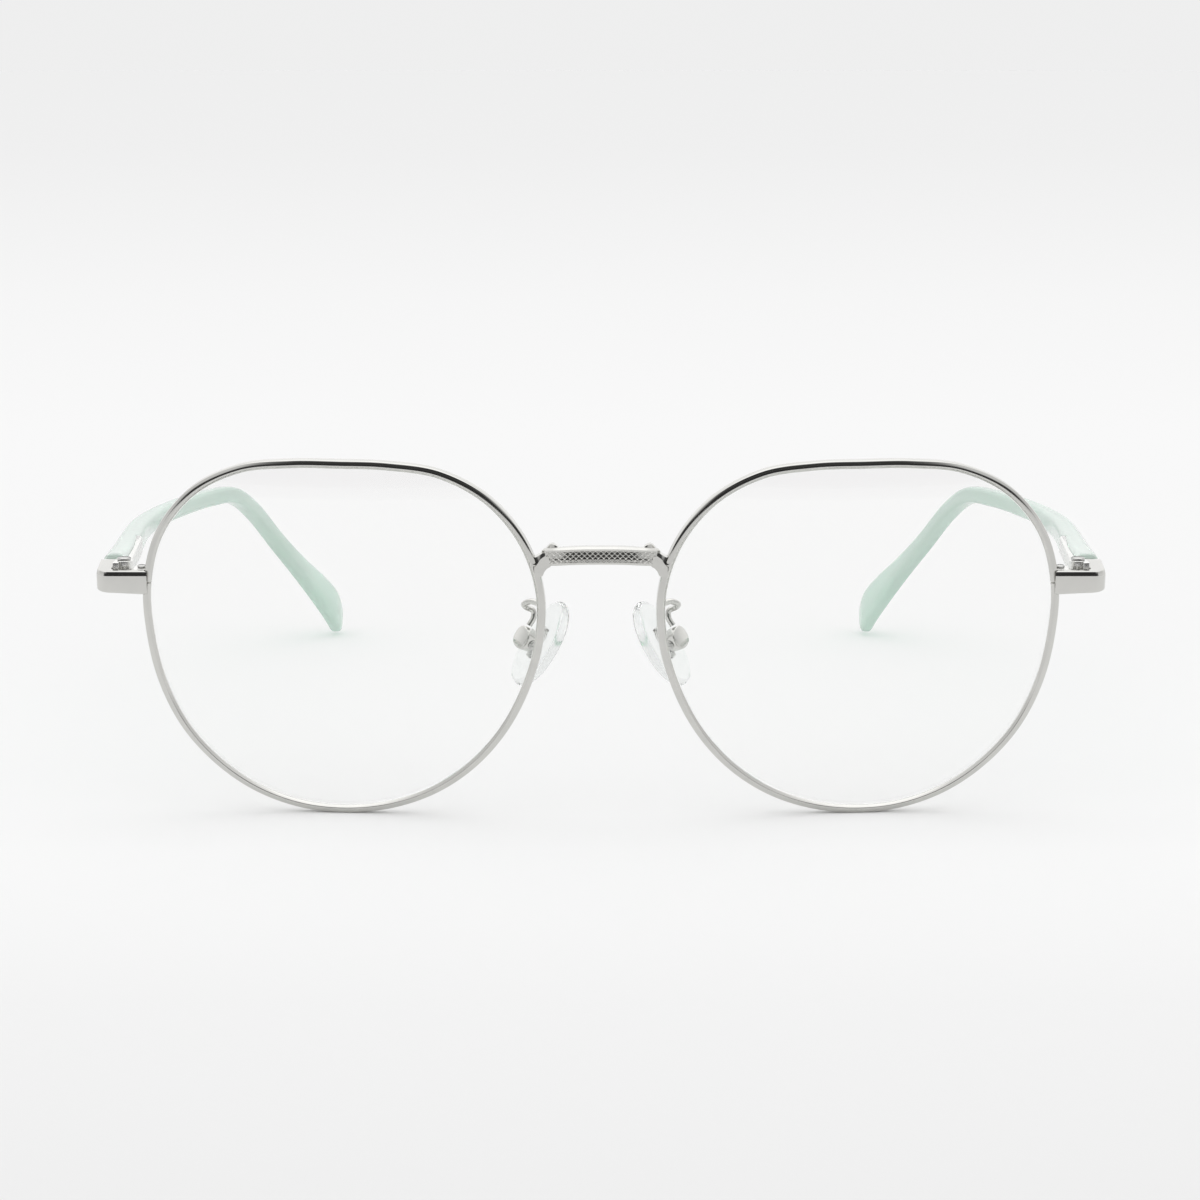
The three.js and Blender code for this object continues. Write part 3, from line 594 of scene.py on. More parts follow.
def lens_shape():
    """Two curved faces and a bevelled edge that sits in the rim's groove."""
    edge = rim_outline(RIM_WIDTH + LENS_GAP)
    half = LENS_THICKNESS / 2
    ridge = 1 + (GROOVE_DEPTH - BEVEL_GAP) / RIM_REACH[0]
    chamfer = half - LENS_CHAMFER
    face = [0.004, 0.1, 0.2, 0.32, 0.44, 0.56, 0.68, 0.8, 0.9, 0.97, 0.9985]
    spokes = [(reach, -half) for reach in face]
    spokes += [
        (1, -chamfer), (1, -LENS_BEVEL), (ridge, 0), (1, LENS_BEVEL), (1, chamfer),
    ]
    spokes += [(reach, half) for reach in reversed(face)]
    around = 160
    rim = [edge.at(i / around)[0] for i in range(around)]
    rings = []
    for reach, depth in spokes:
        rings.append([
            (p.x * reach, depth + base_curve(p.x * reach, p.z * reach), p.z * reach) for p in rim
        ])
    return solid(rings)


# ------------------------------------------------------------------ bridge

def bar_station(s):
    """Centre and axes of the bar's section at s, from -1 at one rim to 1 at the other."""
    arm = BRIDGE_HALF - BRIDGE_FLAT
    far = max(0.0, (abs(s) * BRIDGE_HALF - BRIDGE_FLAT) / arm)
    slope = BEND_POWER * far ** (BEND_POWER - 1) * BRIDGE_SWEEP / arm
    turn = math.copysign(math.atan(slope), s)
    centre = Vector((
        s * BRIDGE_HALF - math.sin(turn) * BRIDGE_THICKNESS * 0.2,
        BRIDGE_THICKNESS / 2 + far ** BEND_POWER * BRIDGE_SWEEP,
        BRIDGE_Z - far ** ARCH_POWER * BRIDGE_RISE,
    ))
    return centre, Vector((-math.sin(turn), math.cos(turn), 0)), Vector((0, 0, 1))


def smoothstep(low, high, value):
    t = min(max((value - low) / (high - low), 0), 1)
    return t * t * (3 - 2 * t)


def knurl(along, up):
    """Depth below the bar's face: diamond cells, deepest at their tops, in a raised lattice.

    The end cells' floors also slope inwards, so that they face forwards on the bar's bend."""
    a = (along / KNURL_PITCH + up / KNURL_RISE) % 1 - 0.5
    b = (along / KNURL_PITCH - up / KNURL_RISE) % 1 - 0.5
    cell = smoothstep(0.06, 0.13, 0.5 - max(abs(a), abs(b)))
    steepness = KNURL_TILT * (0.45 + 0.55 * smoothstep(KNURL_LOW, 0.1, up))
    inward = KNURL_TURN * (along / KNURL_HALF) ** 3
    depth = KNURL_DEPTH + (steepness * (a - b) * KNURL_RISE - inward * (a + b) * KNURL_PITCH) / 2
    depth = max(depth, 0)
    ends = 1 - smoothstep(KNURL_HALF - 0.35, KNURL_HALF, abs(along))
    low = smoothstep(KNURL_LOW, KNURL_LOW + 0.10, up)
    high = 1 - smoothstep(KNURL_HIGH - 0.10, KNURL_HIGH, up)
    return depth * cell * ends * low * high


def bar_shape():
    """The bar, with a slightly rounded knurled face, a bright top edge and a plain back."""
    back = BRIDGE_THICKNESS / 2
    high = BRIDGE_HEIGHT / 2
    top = KNURL_HIGH + 0.04
    low = KNURL_LOW - 0.04
    face = []
    for k in range(FACE_ROWS + 1):
        up = top + (low - top) * k / FACE_ROWS
        fall = FACE_BOW - math.sqrt(FACE_BOW ** 2 - (up - FACE_CREST) ** 2)
        face.append((-back + fall, up))
    rest = rounded([
        (-back + 0.12, -high, 0.14), (back, -high, 0.4), (back, high, 0.4),
        (-back + 0.5, high, 0.2), (-back + 0.06, high - 0.26, 0.02),
    ], 6)
    outline = face + rest
    rings = []
    for i in range(BAR_STEPS + 1):
        s = (2 * i / BAR_STEPS - 1) * BAR_REACH
        centre, x, y = bar_station(s)
        ring = []
        for k, (px, py) in enumerate(outline):
            if k <= FACE_ROWS:
                px += knurl(s * BRIDGE_HALF, py)
            ring.append(centre + x * px + y * py)
        rings.append(ring)
    return solid(rings)


SHOULDER_LINE = Curve([                 # sideways place, front, back and top
    (4.8, 1.3, 2.0, 0.3), (5.6, 1.35, 2.5, 0.55), (6.2, 1.5, 2.95, 0.95), (6.8, 1.75, 3.2, 1.0),
    (7.3, 2.0, 3.4, 0.5), (7.7, 1.8, 3.5, 0.0), (8.2, 1.7, 3.5, -0.42), (8.9, 1.7, 3.5, -0.8),
    (9.5, 1.7, 3.5, -0.55), (10.0, 1.7, 3.5, -0.2),
], power=0)
SHOULDER_HEIGHT = 1.24


def shoulder_shape():
    """The arm that rises behind the bar's end and runs down to the rim."""
    rings = []
    steps = 60
    for i in range(steps + 1):
        x, front, rear, top = SHOULDER_LINE.at(i / steps)[0]
        low = top - SHOULDER_HEIGHT
        section = rounded([
            (front, low, 0.15), (rear, low, 0.25), (rear, top, 0.3), (front + 0.42, top, 0.1),
        ], 5)
        rings.append([(x, y, z) for y, z in section])
    return solid(rings)


def foot_shape():
    """The web below each end of the bar, running down the side of the rim."""
    outline = rounded([
        (6.95, -1.6, 0.2), (7.25, -0.85, 0.15), (7.5, -0.62, 0.2), (8.1, -1.05, 0.6),
        (8.55, -1.8, 0.8), (8.9, -2.2, 0.1), (8.9, -3.3, 0.1), (8.05, -3.2, 0.12),
        (7.8, -2.6, 1.0), (7.4, -2.1, 1.0), (6.95, -1.9, 0.2),
    ])
    return moved(prism(outline, -FOOT_BACK, -FOOT_FRONT, edge=0.16), UPRIGHT)


def bridge_shape():
    end = joined(shoulder_shape(), foot_shape())
    room = rim_room(*NOSE_STRETCH)
    end = combined(end, room)
    whole = combined(bar_shape(), room, moved(room, MIRROR))
    return joined(whole, end, moved(end, MIRROR))


# ------------------------------------------------------------------ end piece and rim lock

def end_piece_plan():
    """Outer and inner points in plan: along the plate, round the corner and down the strap."""
    bend = Vector((STRAP_OUTER - CORNER_RADIUS, PLATE_FRONT + CORNER_RADIUS))
    inner = Vector((STRAP_INNER - FILLET_RADIUS, PLATE_FRONT + PLATE_THICK + FILLET_RADIUS))
    plan = []
    for k in range(BEND_STEPS + 1):
        share = k / BEND_STEPS
        plan.append((
            Vector((PLATE_INNER + (bend.x - PLATE_INNER) * share, PLATE_FRONT)),
            Vector((PLATE_INNER + (inner.x - PLATE_INNER) * share, PLATE_FRONT + PLATE_THICK)),
        ))
    for k in range(1, BEND_STEPS + 1):
        angle = math.pi / 2 * (k / BEND_STEPS - 1)
        ray = Vector((math.cos(angle), math.sin(angle)))
        plan.append((bend + ray * CORNER_RADIUS, inner + ray * FILLET_RADIUS))
    outer_start = Vector((STRAP_OUTER, bend.y))
    inner_start = Vector((STRAP_INNER, inner.y))
    outer_end = Vector((STRAP_OUTER + STRAP_LEAN, STRAP_END - STRAP_SLANT))
    inner_end = Vector((STRAP_INNER, STRAP_END))
    for k in range(1, STRAP_STEPS + 1):
        share = k / STRAP_STEPS
        plan.append((outer_start.lerp(outer_end, share), inner_start.lerp(inner_end, share)))
    return plan


def end_piece_shape():
    """A plate that turns back round a corner into a strap, as one swept section.

    The section stands between the plan's outer and inner points, and has a shallow facet along
    the top of its outer face."""
    plan = end_piece_plan()
    rings = []
    for outer, near in plan:
        across = (near - outer).length
        way = (near - outer).normalized()
        rise = PLATE_TAPER * min(1, (outer.x - PLATE_INNER) / (STRAP_OUTER - PLATE_INNER))
        section = rounded([
            (0, PLATE_LOW + rise, 0.3), (0, PLATE_HIGH - FACET_HEIGHT, 0.12),
            (FACET_DEPTH, PLATE_HIGH, 0.12), (across, PLATE_HIGH, 0.12),
            (across, PLATE_LOW + rise, 0.2),
        ], 4)
        if len(rings) in (0, len(plan) - 1):
            section = inset(section, -END_EDGE)
        rings.append([
            (outer.x + way.x * d, outer.y + way.y * d, z) for d, z in section
        ])
    return combined(solid(rings), *split_rooms())


LOCK_FRONT = PLATE_FRONT + PLATE_THICK + FIT_GAP
LOCK_X = LOCK_INNER + LOCK_WIDTH / 2
LOCK_Y = LOCK_FRONT + LOCK_DEPTH / 2


def lock_block_shape(low, high):
    outline = box_outline(
        LOCK_INNER, LOCK_FRONT, LOCK_INNER + LOCK_WIDTH, LOCK_FRONT + LOCK_DEPTH, 0.25,
    )
    hole = prism(circle(LOCK_X, LOCK_Y, LOCK_HOLE), low - 1, high + 1)
    return combined(prism(outline, low, high, edge=0.08), hole, *split_rooms())


def split_rooms():
    return rim_room(0, SPLIT_STRETCH), rim_room(1 - SPLIT_STRETCH, 1)


def lock_screw_shape():
    shape = screw(LOCK_SCREW, PLATE_HEIGHT - 0.1, LOCK_HEAD, 0.35)
    return moved(shape, Matrix.Translation((LOCK_X, LOCK_Y, PLATE_HIGH + SCREW_SEAT)))


# ------------------------------------------------------------------ hinge and spring

def front_hinge_shape():
    outer = STRAP_INNER - HINGE.x - FIT_GAP
    inner = outer - LEAF_THICK
    high = BARREL_HALF
    slot = KNUCKLE_HEIGHT / 2 + KNUCKLE_GAP
    barrel = prism(circle(0, 0, KNUCKLE_RADIUS, 48), -high, high, edge=0.1)
    leaf = prism(box_outline(inner, -LEAF_REACH, outer, LEAF_TAIL, 0.12), -high, high, edge=0.1)
    ring = prism(circle(0, 0, KNUCKLE_RADIUS + KNUCKLE_CLEARANCE, 48), -slot, slot)
    gap = prism(box_outline(-3, -PIN_HOLE - 0.1, 3, 3, 0.01), -slot, slot)
    hole = prism(circle(0, 0, PIN_HOLE), -high - 1, high + 1)
    return combined(joined(barrel, leaf), ring, gap, hole)


def hinge_screw_shape():
    shape = screw(PIN_RADIUS, 2 * BARREL_HALF, 0.95, 0.42)
    return moved(shape, Matrix.Translation((0, 0, BARREL_HALF + SCREW_SEAT)))


ON_ROD = Matrix.Translation((SHANK_X, 0, 0)) @ ALONG_Y
RETAINER_FROM = HOUSING_FRONT + SHANK_OVERLAP + 0.1
RETAINER_TO = RETAINER_FROM + RING_THICK
NUT_TO = ROD_LENGTH - 0.1
NUT_FROM = NUT_TO - RING_THICK


def slider_shape():
    half = KNUCKLE_HEIGHT / 2
    shank_end = HOUSING_FRONT + SHANK_OVERLAP
    knuckle = prism(circle(0, 0, KNUCKLE_RADIUS, 48), -half, half, edge=0.08)
    shank = prism(
        box_outline(SHANK_X - SHANK_WIDTH / 2, 0, SHANK_X + SHANK_WIDTH / 2, shank_end, 0.1),
        -half * 0.9, half * 0.9, edge=0.06,
    )
    rod = moved(turned([
        (0, shank_end - 0.4), (ROD_RADIUS, shank_end - 0.4), (ROD_RADIUS, ROD_LENGTH - 0.06),
        (ROD_RADIUS - 0.06, ROD_LENGTH), (0, ROD_LENGTH),
    ]), ON_ROD)
    hole = prism(circle(0, 0, PIN_HOLE), -half - 1, half + 1)
    return combined(joined(knuckle, shank, rod), hole)


def rod_ring_shape(outer, low, high):
    return moved(ring_solid(ROD_RADIUS + ROD_CLEARANCE, outer, low, high), ON_ROD)


def spring_shape():
    low = RETAINER_TO + SPRING_WIRE + SPRING_REST
    high = NUT_FROM - SPRING_WIRE - SPRING_REST
    per_turn = 32
    pitch = (high - low) / SPRING_TURNS / (2 * math.pi * SPRING_RADIUS)
    stations = []
    for i in range(SPRING_TURNS * per_turn + 1):
        angle = 2 * math.pi * i / per_turn
        out = Vector((math.cos(angle), 0, -math.sin(angle)))
        along = Vector((-math.sin(angle), pitch, -math.cos(angle))).normalized()
        centre = out * SPRING_RADIUS
        centre.x += SHANK_X
        centre.y = low + (high - low) * i / (SPRING_TURNS * per_turn)
        stations.append((centre, out, along.cross(out)))
    return swept(oval(2 * SPRING_WIRE, 2 * SPRING_WIRE, 10), stations)


def housing_shape():
    """The housing let into the temple: bored from the front, notched and ramped at the rear."""
    inner = HOUSING_INNER
    rear = HOUSING_FRONT + HOUSING_LENGTH
    high = HOUSING_HEIGHT / 2
    outline = box_outline(inner, -high, inner + HOUSING_WIDTH, high, 0.32)
    body = moved(
        prism([(x, -z) for x, z in reversed(outline)], HOUSING_FRONT, rear, edge=0.12), ALONG_Y,
    )
    start = HOUSING_FRONT - 1
    end = HOUSING_FRONT + CHANNEL_DEPTH
    channel = moved(
        turned([(0, start), (CHANNEL_RADIUS, start), (CHANNEL_RADIUS, end), (0, end)]), ON_ROD,
    )
    wedge = prism(
        [(-high * 0.55, rear + 0.1), (0, rear - NOTCH_DEPTH), (high * 0.55, rear + 0.1)],
        inner - 1, inner + 0.7,
    )
    notch = moved(wedge, ALONG_X)
    ramp = moved(
        prism(box_outline(-0.5, -2, 0.5, 2, 0.01), -2, 2),
        Matrix.Translation((inner - 0.35, rear - 0.6, 0)) @ Matrix.Rotation(-0.35, 4, "Z"),
    )
    return combined(body, channel, notch, ramp)


# ------------------------------------------------------------------ temple

TEMPLE_LINE = [
    ((67.8, TEMPLE_FRONT, -4.0), 3.3, 3.9),
    ((68.25, 24, -4.3), 3.6, 3.8),
    ((69.25, 38, -4.6), 3.4, 3.5),
    ((70.1, 52, -4.95), 3.1, 3.2),
    ((69.8, 66, -5.5), 2.9, 3.0),
    ((67.8, 80, -5.95), 2.8, 2.9),
    ((65.0, 92, -6.45), 2.7, 2.8),
    ((62.3, 102.5, -7.6), 2.7, 2.8),
    ((59.9, 112.2, -11.9), 2.7, 2.9),
    ((56.5, 119.4, -18.6), 2.7, 3.1),
    ((53.2, 124.4, -24.1), 2.7, 4.2),
    ((50.3, 128.7, -28.8), 2.7, 6.2),
    ((48.4, 132.1, -32.6), 2.7, 6.9),
    ((47.7, 135.4, -36.4), 2.3, 4.6),
]
TEMPLE_CURVE = Curve([at for at, _, _ in TEMPLE_LINE])
TEMPLE_SIZE = Curve([(across, deep) for _, across, deep in TEMPLE_LINE], power=0)


def temple_station(t):
    centre, along = TEMPLE_CURVE.at(t)
    along.normalize()
    down = -Vector((1, 0, 0)).cross(along).normalized()
    out = -along.cross(down).normalized()
    return centre, out, down, along


def temple_stations():
    """The temple's sections, rounded over its front end and closed in at the paddle's tip."""
    stations = []
    for i in range(TEMPLE_STEPS + 1):
        t = i / TEMPLE_STEPS
        centre, out, down, _ = temple_station(t)
        across, deep = TEMPLE_SIZE.at(t)[0]
        past = max(0, (t - TIP_FROM) / (1 - TIP_FROM))
        end = max(0.06, (1 - past ** 3.0) ** (1 / 2.5))
        stations.append((centre, out * across * end, down * deep * end))
    first, out, down = stations[0]
    along = temple_station(0)[3]
    lead = []
    for k in range(4):
        angle = math.pi / 2 * k / 4
        drop = TEMPLE_EDGE * (1 - math.sin(angle))
        shift = TEMPLE_EDGE * (1 - math.cos(angle))
        lead.append((
            first + along * shift,
            out * (1 - 2 * drop / out.length),
            down * (1 - 2 * drop / down.length),
        ))
    return lead + stations[1:]


def temple_shape():
    """The acetate side arm, with the housing's pocket open along its inner side."""
    grow = CORE_CLEARANCE
    half = HOUSING_HEIGHT / 2 + grow
    pocket = prism(box_outline(
        HOUSING_INNER - grow - 1.5, HOUSING_FRONT - 1, HOUSING_INNER + HOUSING_WIDTH + grow,
        HOUSING_FRONT + HOUSING_LENGTH + grow, 0.01,
    ), -half, half)
    return combined(swept(oval(1, 1, 48, 3.2), temple_stations()), moved(pocket, SPRING))


def core_shape():
    stations = []
    for i in range(CORE_STEPS + 1):
        share = i / CORE_STEPS
        centre, out, down, _ = temple_station(CORE_FROM + (CORE_TO - CORE_FROM) * share)
        taper = 1 - 0.35 * smoothstep(0.9, 1.0, share)
        stations.append((centre, -down * taper, out * taper))
    return swept(oval(CORE_WIDTH, CORE_HEIGHT, 24), stations)


# ------------------------------------------------------------------ nose pads

def pad_shape():
    """A soft drop: flat towards the box, fuller towards the nose, with rounded ends."""
    rings = 44
    outline = oval(1, 1, 48, 2.3)
    stations = []
    for i in range(rings + 1):
        s = -math.cos(math.pi * i / rings)
        bulge = max(0.05, math.sqrt(max(0, 1 - abs(s) ** 2.3)))
        waist = 1 - 0.06 * (1 + s)
        stations.append((
            Vector((-0.25 * (1 - s * s), 0, s * PAD_LENGTH / 2)),
            Vector((PAD_THICK * (0.3 + 0.7 * bulge) * min(1, bulge * 3), 0, 0)),
            Vector((0, PAD_WIDTH * bulge * waist, 0)),
        ))
    return swept(outline, stations)


def insert_shape():
    """The metal plate in the pad, and the stud with an eye that stands out of it."""
    half = PAD_STUD_THICK / 2
    wide = INSERT_WIDTH / 2
    high = INSERT_HEIGHT / 2
    outline = box_outline(-wide, -high, wide, high, 1.2)
    plate = moved(
        prism(outline, -INSERT_THICK / 2, INSERT_THICK / 2, edge=0.12),
        Matrix.Translation((INSERT_X, 0, 0)) @ Matrix.Rotation(math.pi / 2, 4, "Z") @ UPRIGHT,
    )
    neck = EYE_RADIUS * 0.7
    stud = moved(
        prism(box_outline(0, -neck, PAD_PIVOT_X, neck, 0.05), -half, half, edge=0.04), UPRIGHT,
    )
    eye = moved(prism(circle(PAD_PIVOT_X, 0, EYE_RADIUS), -half, half, edge=0.08), UPRIGHT)
    hole = moved(prism(circle(PAD_PIVOT_X, 0, PAD_HOLE_RADIUS), -2, 2), UPRIGHT)
    return combined(joined(plate, stud, eye), hole)


def pad_box_shape():
    """A rounded cup, slotted for the pad's stud and cross-drilled for its screw."""
    size = PAD_BOX_SIZE
    top = BOX_FROM + PAD_BOX_DEPTH + 0.35
    shell = moved(prism(oval(size, size, 48, 2.6), BOX_FROM, top, edge=0.2), ALONG_X)
    long = (size - 0.7) / 2
    wide = PAD_STUD_THICK / 2 + 0.08
    slot = moved(
        prism(
            box_outline(-long, -wide, long, wide, 0.1), BOX_FROM - PAD_BOX_DEPTH,
            BOX_FROM + PAD_BOX_DEPTH,
        ),
        ALONG_X,
    )
    hole = moved(prism(circle(PAD_PIVOT_X, 0, PAD_HOLE_RADIUS), -4, 4), UPRIGHT)
    return combined(shell, slot, hole)


def pad_screw_shape():
    reach = PAD_BOX_SIZE / 2
    shape = screw(PAD_SCREW_RADIUS, 2 * reach - 0.1, 0.75, 0.35)
    return moved(
        shape,
        Matrix.Translation((PAD_PIVOT_X, 0, 0)) @ UPRIGHT
        @ Matrix.Translation((0, 0, reach + SCREW_SEAT)),
    )


def pad_arm_shape():
    path = [
        (8.2, 3.3, -8.6), (8.5, 4.6, -8.2), (9.6, 5.4, -8.0), (10.6, 5.9, -8.5), (10.4, 6.7, -9.2),
        (9.4, 6.9, -9.8), (9.35, 6.7, -10.7), (10.0, 6.32, -11.75),
    ]
    stations = carried(path, 110, (0.3, 0.2, 1))
    return swept(oval(2 * ARM_RADIUS, 2 * ARM_RADIUS, 28), stations)


# ------------------------------------------------------------------ materials

def shader(name):
    """A material with its node tree and its Principled node."""
    material = bpy.data.materials.new(name)
    material.use_nodes = True
    tree = material.node_tree
    return material, tree, tree.nodes["Principled BSDF"]


def feed(node, inputs):
    """Fills a node's inputs, each with a number, with three numbers or from another's socket."""
    for name, value in inputs.items():
        socket = node.inputs[name]
        if isinstance(value, bpy.types.NodeSocket):
            node.id_data.links.new(value, socket)
        else:
            socket.default_value = (*value, 1) if socket.type == "RGBA" else value


def new_node(tree, kind, inputs=None, **settings):
    node = tree.nodes.new("ShaderNode" + kind)
    for name, value in settings.items():
        setattr(node, name, value)
    feed(node, inputs or {})
    return node


def coordinates(tree, kind="Object"):
    """X, Y and Z of a point, or of a direction in the world."""
    place = new_node(tree, "TexCoord").outputs[kind]
    return new_node(tree, "SeparateXYZ", {"Vector": place}).outputs


def noise(tree, scale, stretch=(1, 1, 1), detail=3):
    """Noise in the object's own frame. scale is per millimetre."""
    place = new_node(tree, "TexCoord").outputs["Object"]
    mapping = new_node(tree, "Mapping", {"Scale": stretch, "Vector": place})
    inputs = {"Scale": scale / MM, "Detail": detail, "Vector": mapping.outputs["Vector"]}
    return new_node(tree, "TexNoise", inputs).outputs["Fac"]


def mapped(tree, value, start, stop, low=0.0, high=1.0, kind="LINEAR"):
    """A value moved from the range start to stop on to the range low to high."""
    inputs = {"From Min": start, "From Max": stop, "To Min": low, "To Max": high, "Value": value}
    return new_node(tree, "MapRange", inputs, interpolation_type=kind).outputs["Result"]


def ranged(tree, value, low, high):
    """Noise moved to the range low to high."""
    return mapped(tree, value, 0.3, 0.7, low, high)


def maths(tree, operation, *values, clamp=False):
    inputs = dict(enumerate(values))
    return new_node(tree, "Math", inputs, operation=operation, use_clamp=clamp).outputs["Value"]


def ramp(tree, value, stops):
    """A grey level for each stop of value from 0 to 1, read smoothly between them."""
    node = new_node(tree, "ValToRGB", {"Fac": value})
    elements = node.color_ramp.elements
    while len(elements) < len(stops):
        elements.new(0.5)
    for element, (place, level) in zip(elements, stops):
        element.position = place
        element.color = (level, level, level, 1)
    return node.outputs["Color"]


def mixed_colour(tree, factor, first, second):
    inputs = {"A": first, "B": second, "Factor": factor}
    return new_node(tree, "Mix", inputs, data_type="RGBA").outputs["Result"]


def clouded(tree, scale, first, second, stretch=(1, 1, 1)):
    """Two tints of one colour, mixed by a soft cloud."""
    return mixed_colour(tree, ranged(tree, noise(tree, scale, stretch), 0, 1), first, second)


def bumped(tree, principled, height, distance):
    bump = new_node(tree, "Bump", {"Distance": distance * MM, "Strength": 1, "Height": height})
    feed(principled, {"Normal": bump.outputs["Normal"]})


def metal(name, colour, tint, rough, grain, stretch=(1, 1, 1), bump=0.0):
    """Plated or plain metal, with faint cloudiness and a fine grain in its polish."""
    material, tree, principled = shader(name)
    fine = noise(tree, grain, stretch)
    feed(principled, {
        "Metallic": 1,
        "Base Color": clouded(tree, 0.35, colour, tint),
        "Roughness": ranged(tree, fine, *rough),
    })
    if bump:
        bumped(tree, principled, fine, bump)
    return material


def mixed_shader(tree, factor, first, second):
    return new_node(tree, "MixShader", {"Fac": factor, 1: first, 2: second}).outputs["Shader"]


def pass_light(tree, colour, reflections=False):
    """Lets light through to whatever lies behind, tinted by colour, and reflections if asked.

    Cycles marks a ray refracted by glass as glossy too, so those are taken off again."""
    path = new_node(tree, "LightPath").outputs
    clear = new_node(tree, "BsdfTransparent", {"Color": colour}).outputs["BSDF"]
    passing = path["Is Shadow Ray"]
    if reflections:
        shine = maths(
            tree, "SUBTRACT", path["Is Glossy Ray"], path["Is Transmission Ray"], clamp=True,
        )
        passing = maths(tree, "ADD", passing, shine, clamp=True)
    principled = tree.nodes["Principled BSDF"].outputs["BSDF"]
    shown = mixed_shader(tree, passing, principled, clear)
    feed(tree.nodes["Material Output"], {"Surface": shown})


FADE_END = 75                           # mm back, where the acetate is fully mint


def acetate():
    """Mint acetate with a soft inner cloud, paler and greyer towards the front."""
    material, tree, principled = shader("mint_acetate")
    mint = clouded(tree, 0.12, (0.66, 0.785, 0.72), (0.62, 0.76, 0.685), (1, 0.35, 1))
    fade = mapped(tree, coordinates(tree)["Y"], TEMPLE_FRONT * MM, FADE_END * MM)
    fine = noise(tree, 1.4)
    feed(principled, {
        "Base Color": mixed_colour(tree, fade, (0.72, 0.785, 0.745), mint),
        "Roughness": ranged(tree, fine, 0.10, 0.17),
        "IOR": 1.48,
        "Transmission Weight": 0.35,
        "Subsurface Weight": 0.35,
        "Subsurface Radius": (0.9, 1.0, 0.95),
        "Subsurface Scale": 1.2 * MM,
    })
    bumped(tree, principled, fine, 0.002)
    pass_light(tree, (0.62, 0.74, 0.69))
    return material


def lens_glass():
    """A clear coated lens: almost colourless, with a trace of green in its shine."""
    material, tree, principled = shader("lens_clear")
    feed(principled, {
        "Base Color": (0.997, 0.998, 0.995),
        "Roughness": ranged(tree, noise(tree, 0.05, detail=2), 0.0, 0.012),
        "IOR": 1.5,
        "Transmission Weight": 1,
        "Specular Tint": (0.85, 0.95, 0.9),
    })
    pass_light(tree, (0.975, 0.98, 0.975), reflections=True)
    return material


def clear_pad():
    """Soft clear pad plastic: nearly colourless, a little cloudy, finely matte."""
    material, tree, principled = shader("pad_clear")
    fine = noise(tree, 2.5)
    feed(principled, {
        "Base Color": clouded(tree, 0.5, (0.97, 0.98, 0.975), (0.93, 0.95, 0.94)),
        "Roughness": ranged(tree, fine, 0.03, 0.10),
        "IOR": 1.3,
        "Transmission Weight": 0.96,
    })
    bumped(tree, principled, fine, 0.002)
    pass_light(tree, (0.9, 0.92, 0.91))
    return material


MATERIALS = {
    "polished_silver": metal(
        "polished_silver", (0.63, 0.625, 0.60), (0.60, 0.597, 0.575), (0.05, 0.11), 6,
    ),
    "knurled_silver": metal(
        "knurled_silver", (0.63, 0.625, 0.60), (0.59, 0.587, 0.565), (0.08, 0.15), 8,
    ),
    "satin_steel": metal(
        "satin_steel", (0.82, 0.818, 0.80), (0.77, 0.767, 0.75), (0.18, 0.30), 3,
        (1, 0.12, 1), bump=0.004,
    ),
    "screw_steel": metal(
        "screw_steel", (0.55, 0.548, 0.535), (0.50, 0.498, 0.488), (0.14, 0.26), 5, bump=0.003,
    ),
    "spring_steel": metal(
        "spring_steel", (0.48, 0.478, 0.47), (0.42, 0.418, 0.412), (0.2, 0.32), 6, bump=0.003,
    ),
    "mint_acetate": acetate(),
    "lens_clear": lens_glass(),
    "pad_clear": clear_pad(),
}


# ------------------------------------------------------------------ the object

def shorten_with_slide(coil):
    """Gives the coil a mesh of its own."""
    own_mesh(coil)


def build():
    surface("bridge", bridge_shape(), FRONT)
    split = RIM_GAP / 2
    shapes = {
        "rim": (rim_shape(), EYE),
        "lens": (lens_shape(), EYE),
        "end_piece": (end_piece_shape(), FRONT),
        "lock_block_upper": (lock_block_shape(PLATE_Z + split, PLATE_HIGH), FRONT),
        "lock_block_lower": (lock_block_shape(PLATE_LOW, PLATE_Z - split), FRONT),
        "lock_screw": (lock_screw_shape(), FRONT),
        "hinge_front": (front_hinge_shape(), BARREL),
        "hinge_screw": (hinge_screw_shape(), BARREL),
        "spring_slider": (slider_shape(), SPRING),
        "slider_spring": (spring_shape(), SPRING),
        "slider_nut": (rod_ring_shape(NUT_RADIUS, NUT_FROM, NUT_TO), SPRING),
        "slider_retainer": (rod_ring_shape(RETAINER_RADIUS, RETAINER_FROM, RETAINER_TO), SPRING),
        "spring_housing": (housing_shape(), SPRING),
        "temple": (temple_shape(), ROW),
        "core_wire": (core_shape(), ROW),
        "pad_arm": (pad_arm_shape(), FRONT),
        "pad_box": (pad_box_shape(), PAD),
        "pad_screw": (pad_screw_shape(), PAD),
        "nose_pad": (pad_shape(), PAD),
        "pad_insert": (insert_shape(), PAD),
    }
    for side in ("left", "right"):
        pieces = {
            part: surface(f"{side}_{part}", shape, place, mirrored=side == "right")
            for part, (shape, place) in shapes.items()
        }
        shorten_with_slide(pieces["slider_spring"])


build()


# ------------------------------------------------------------------ studio

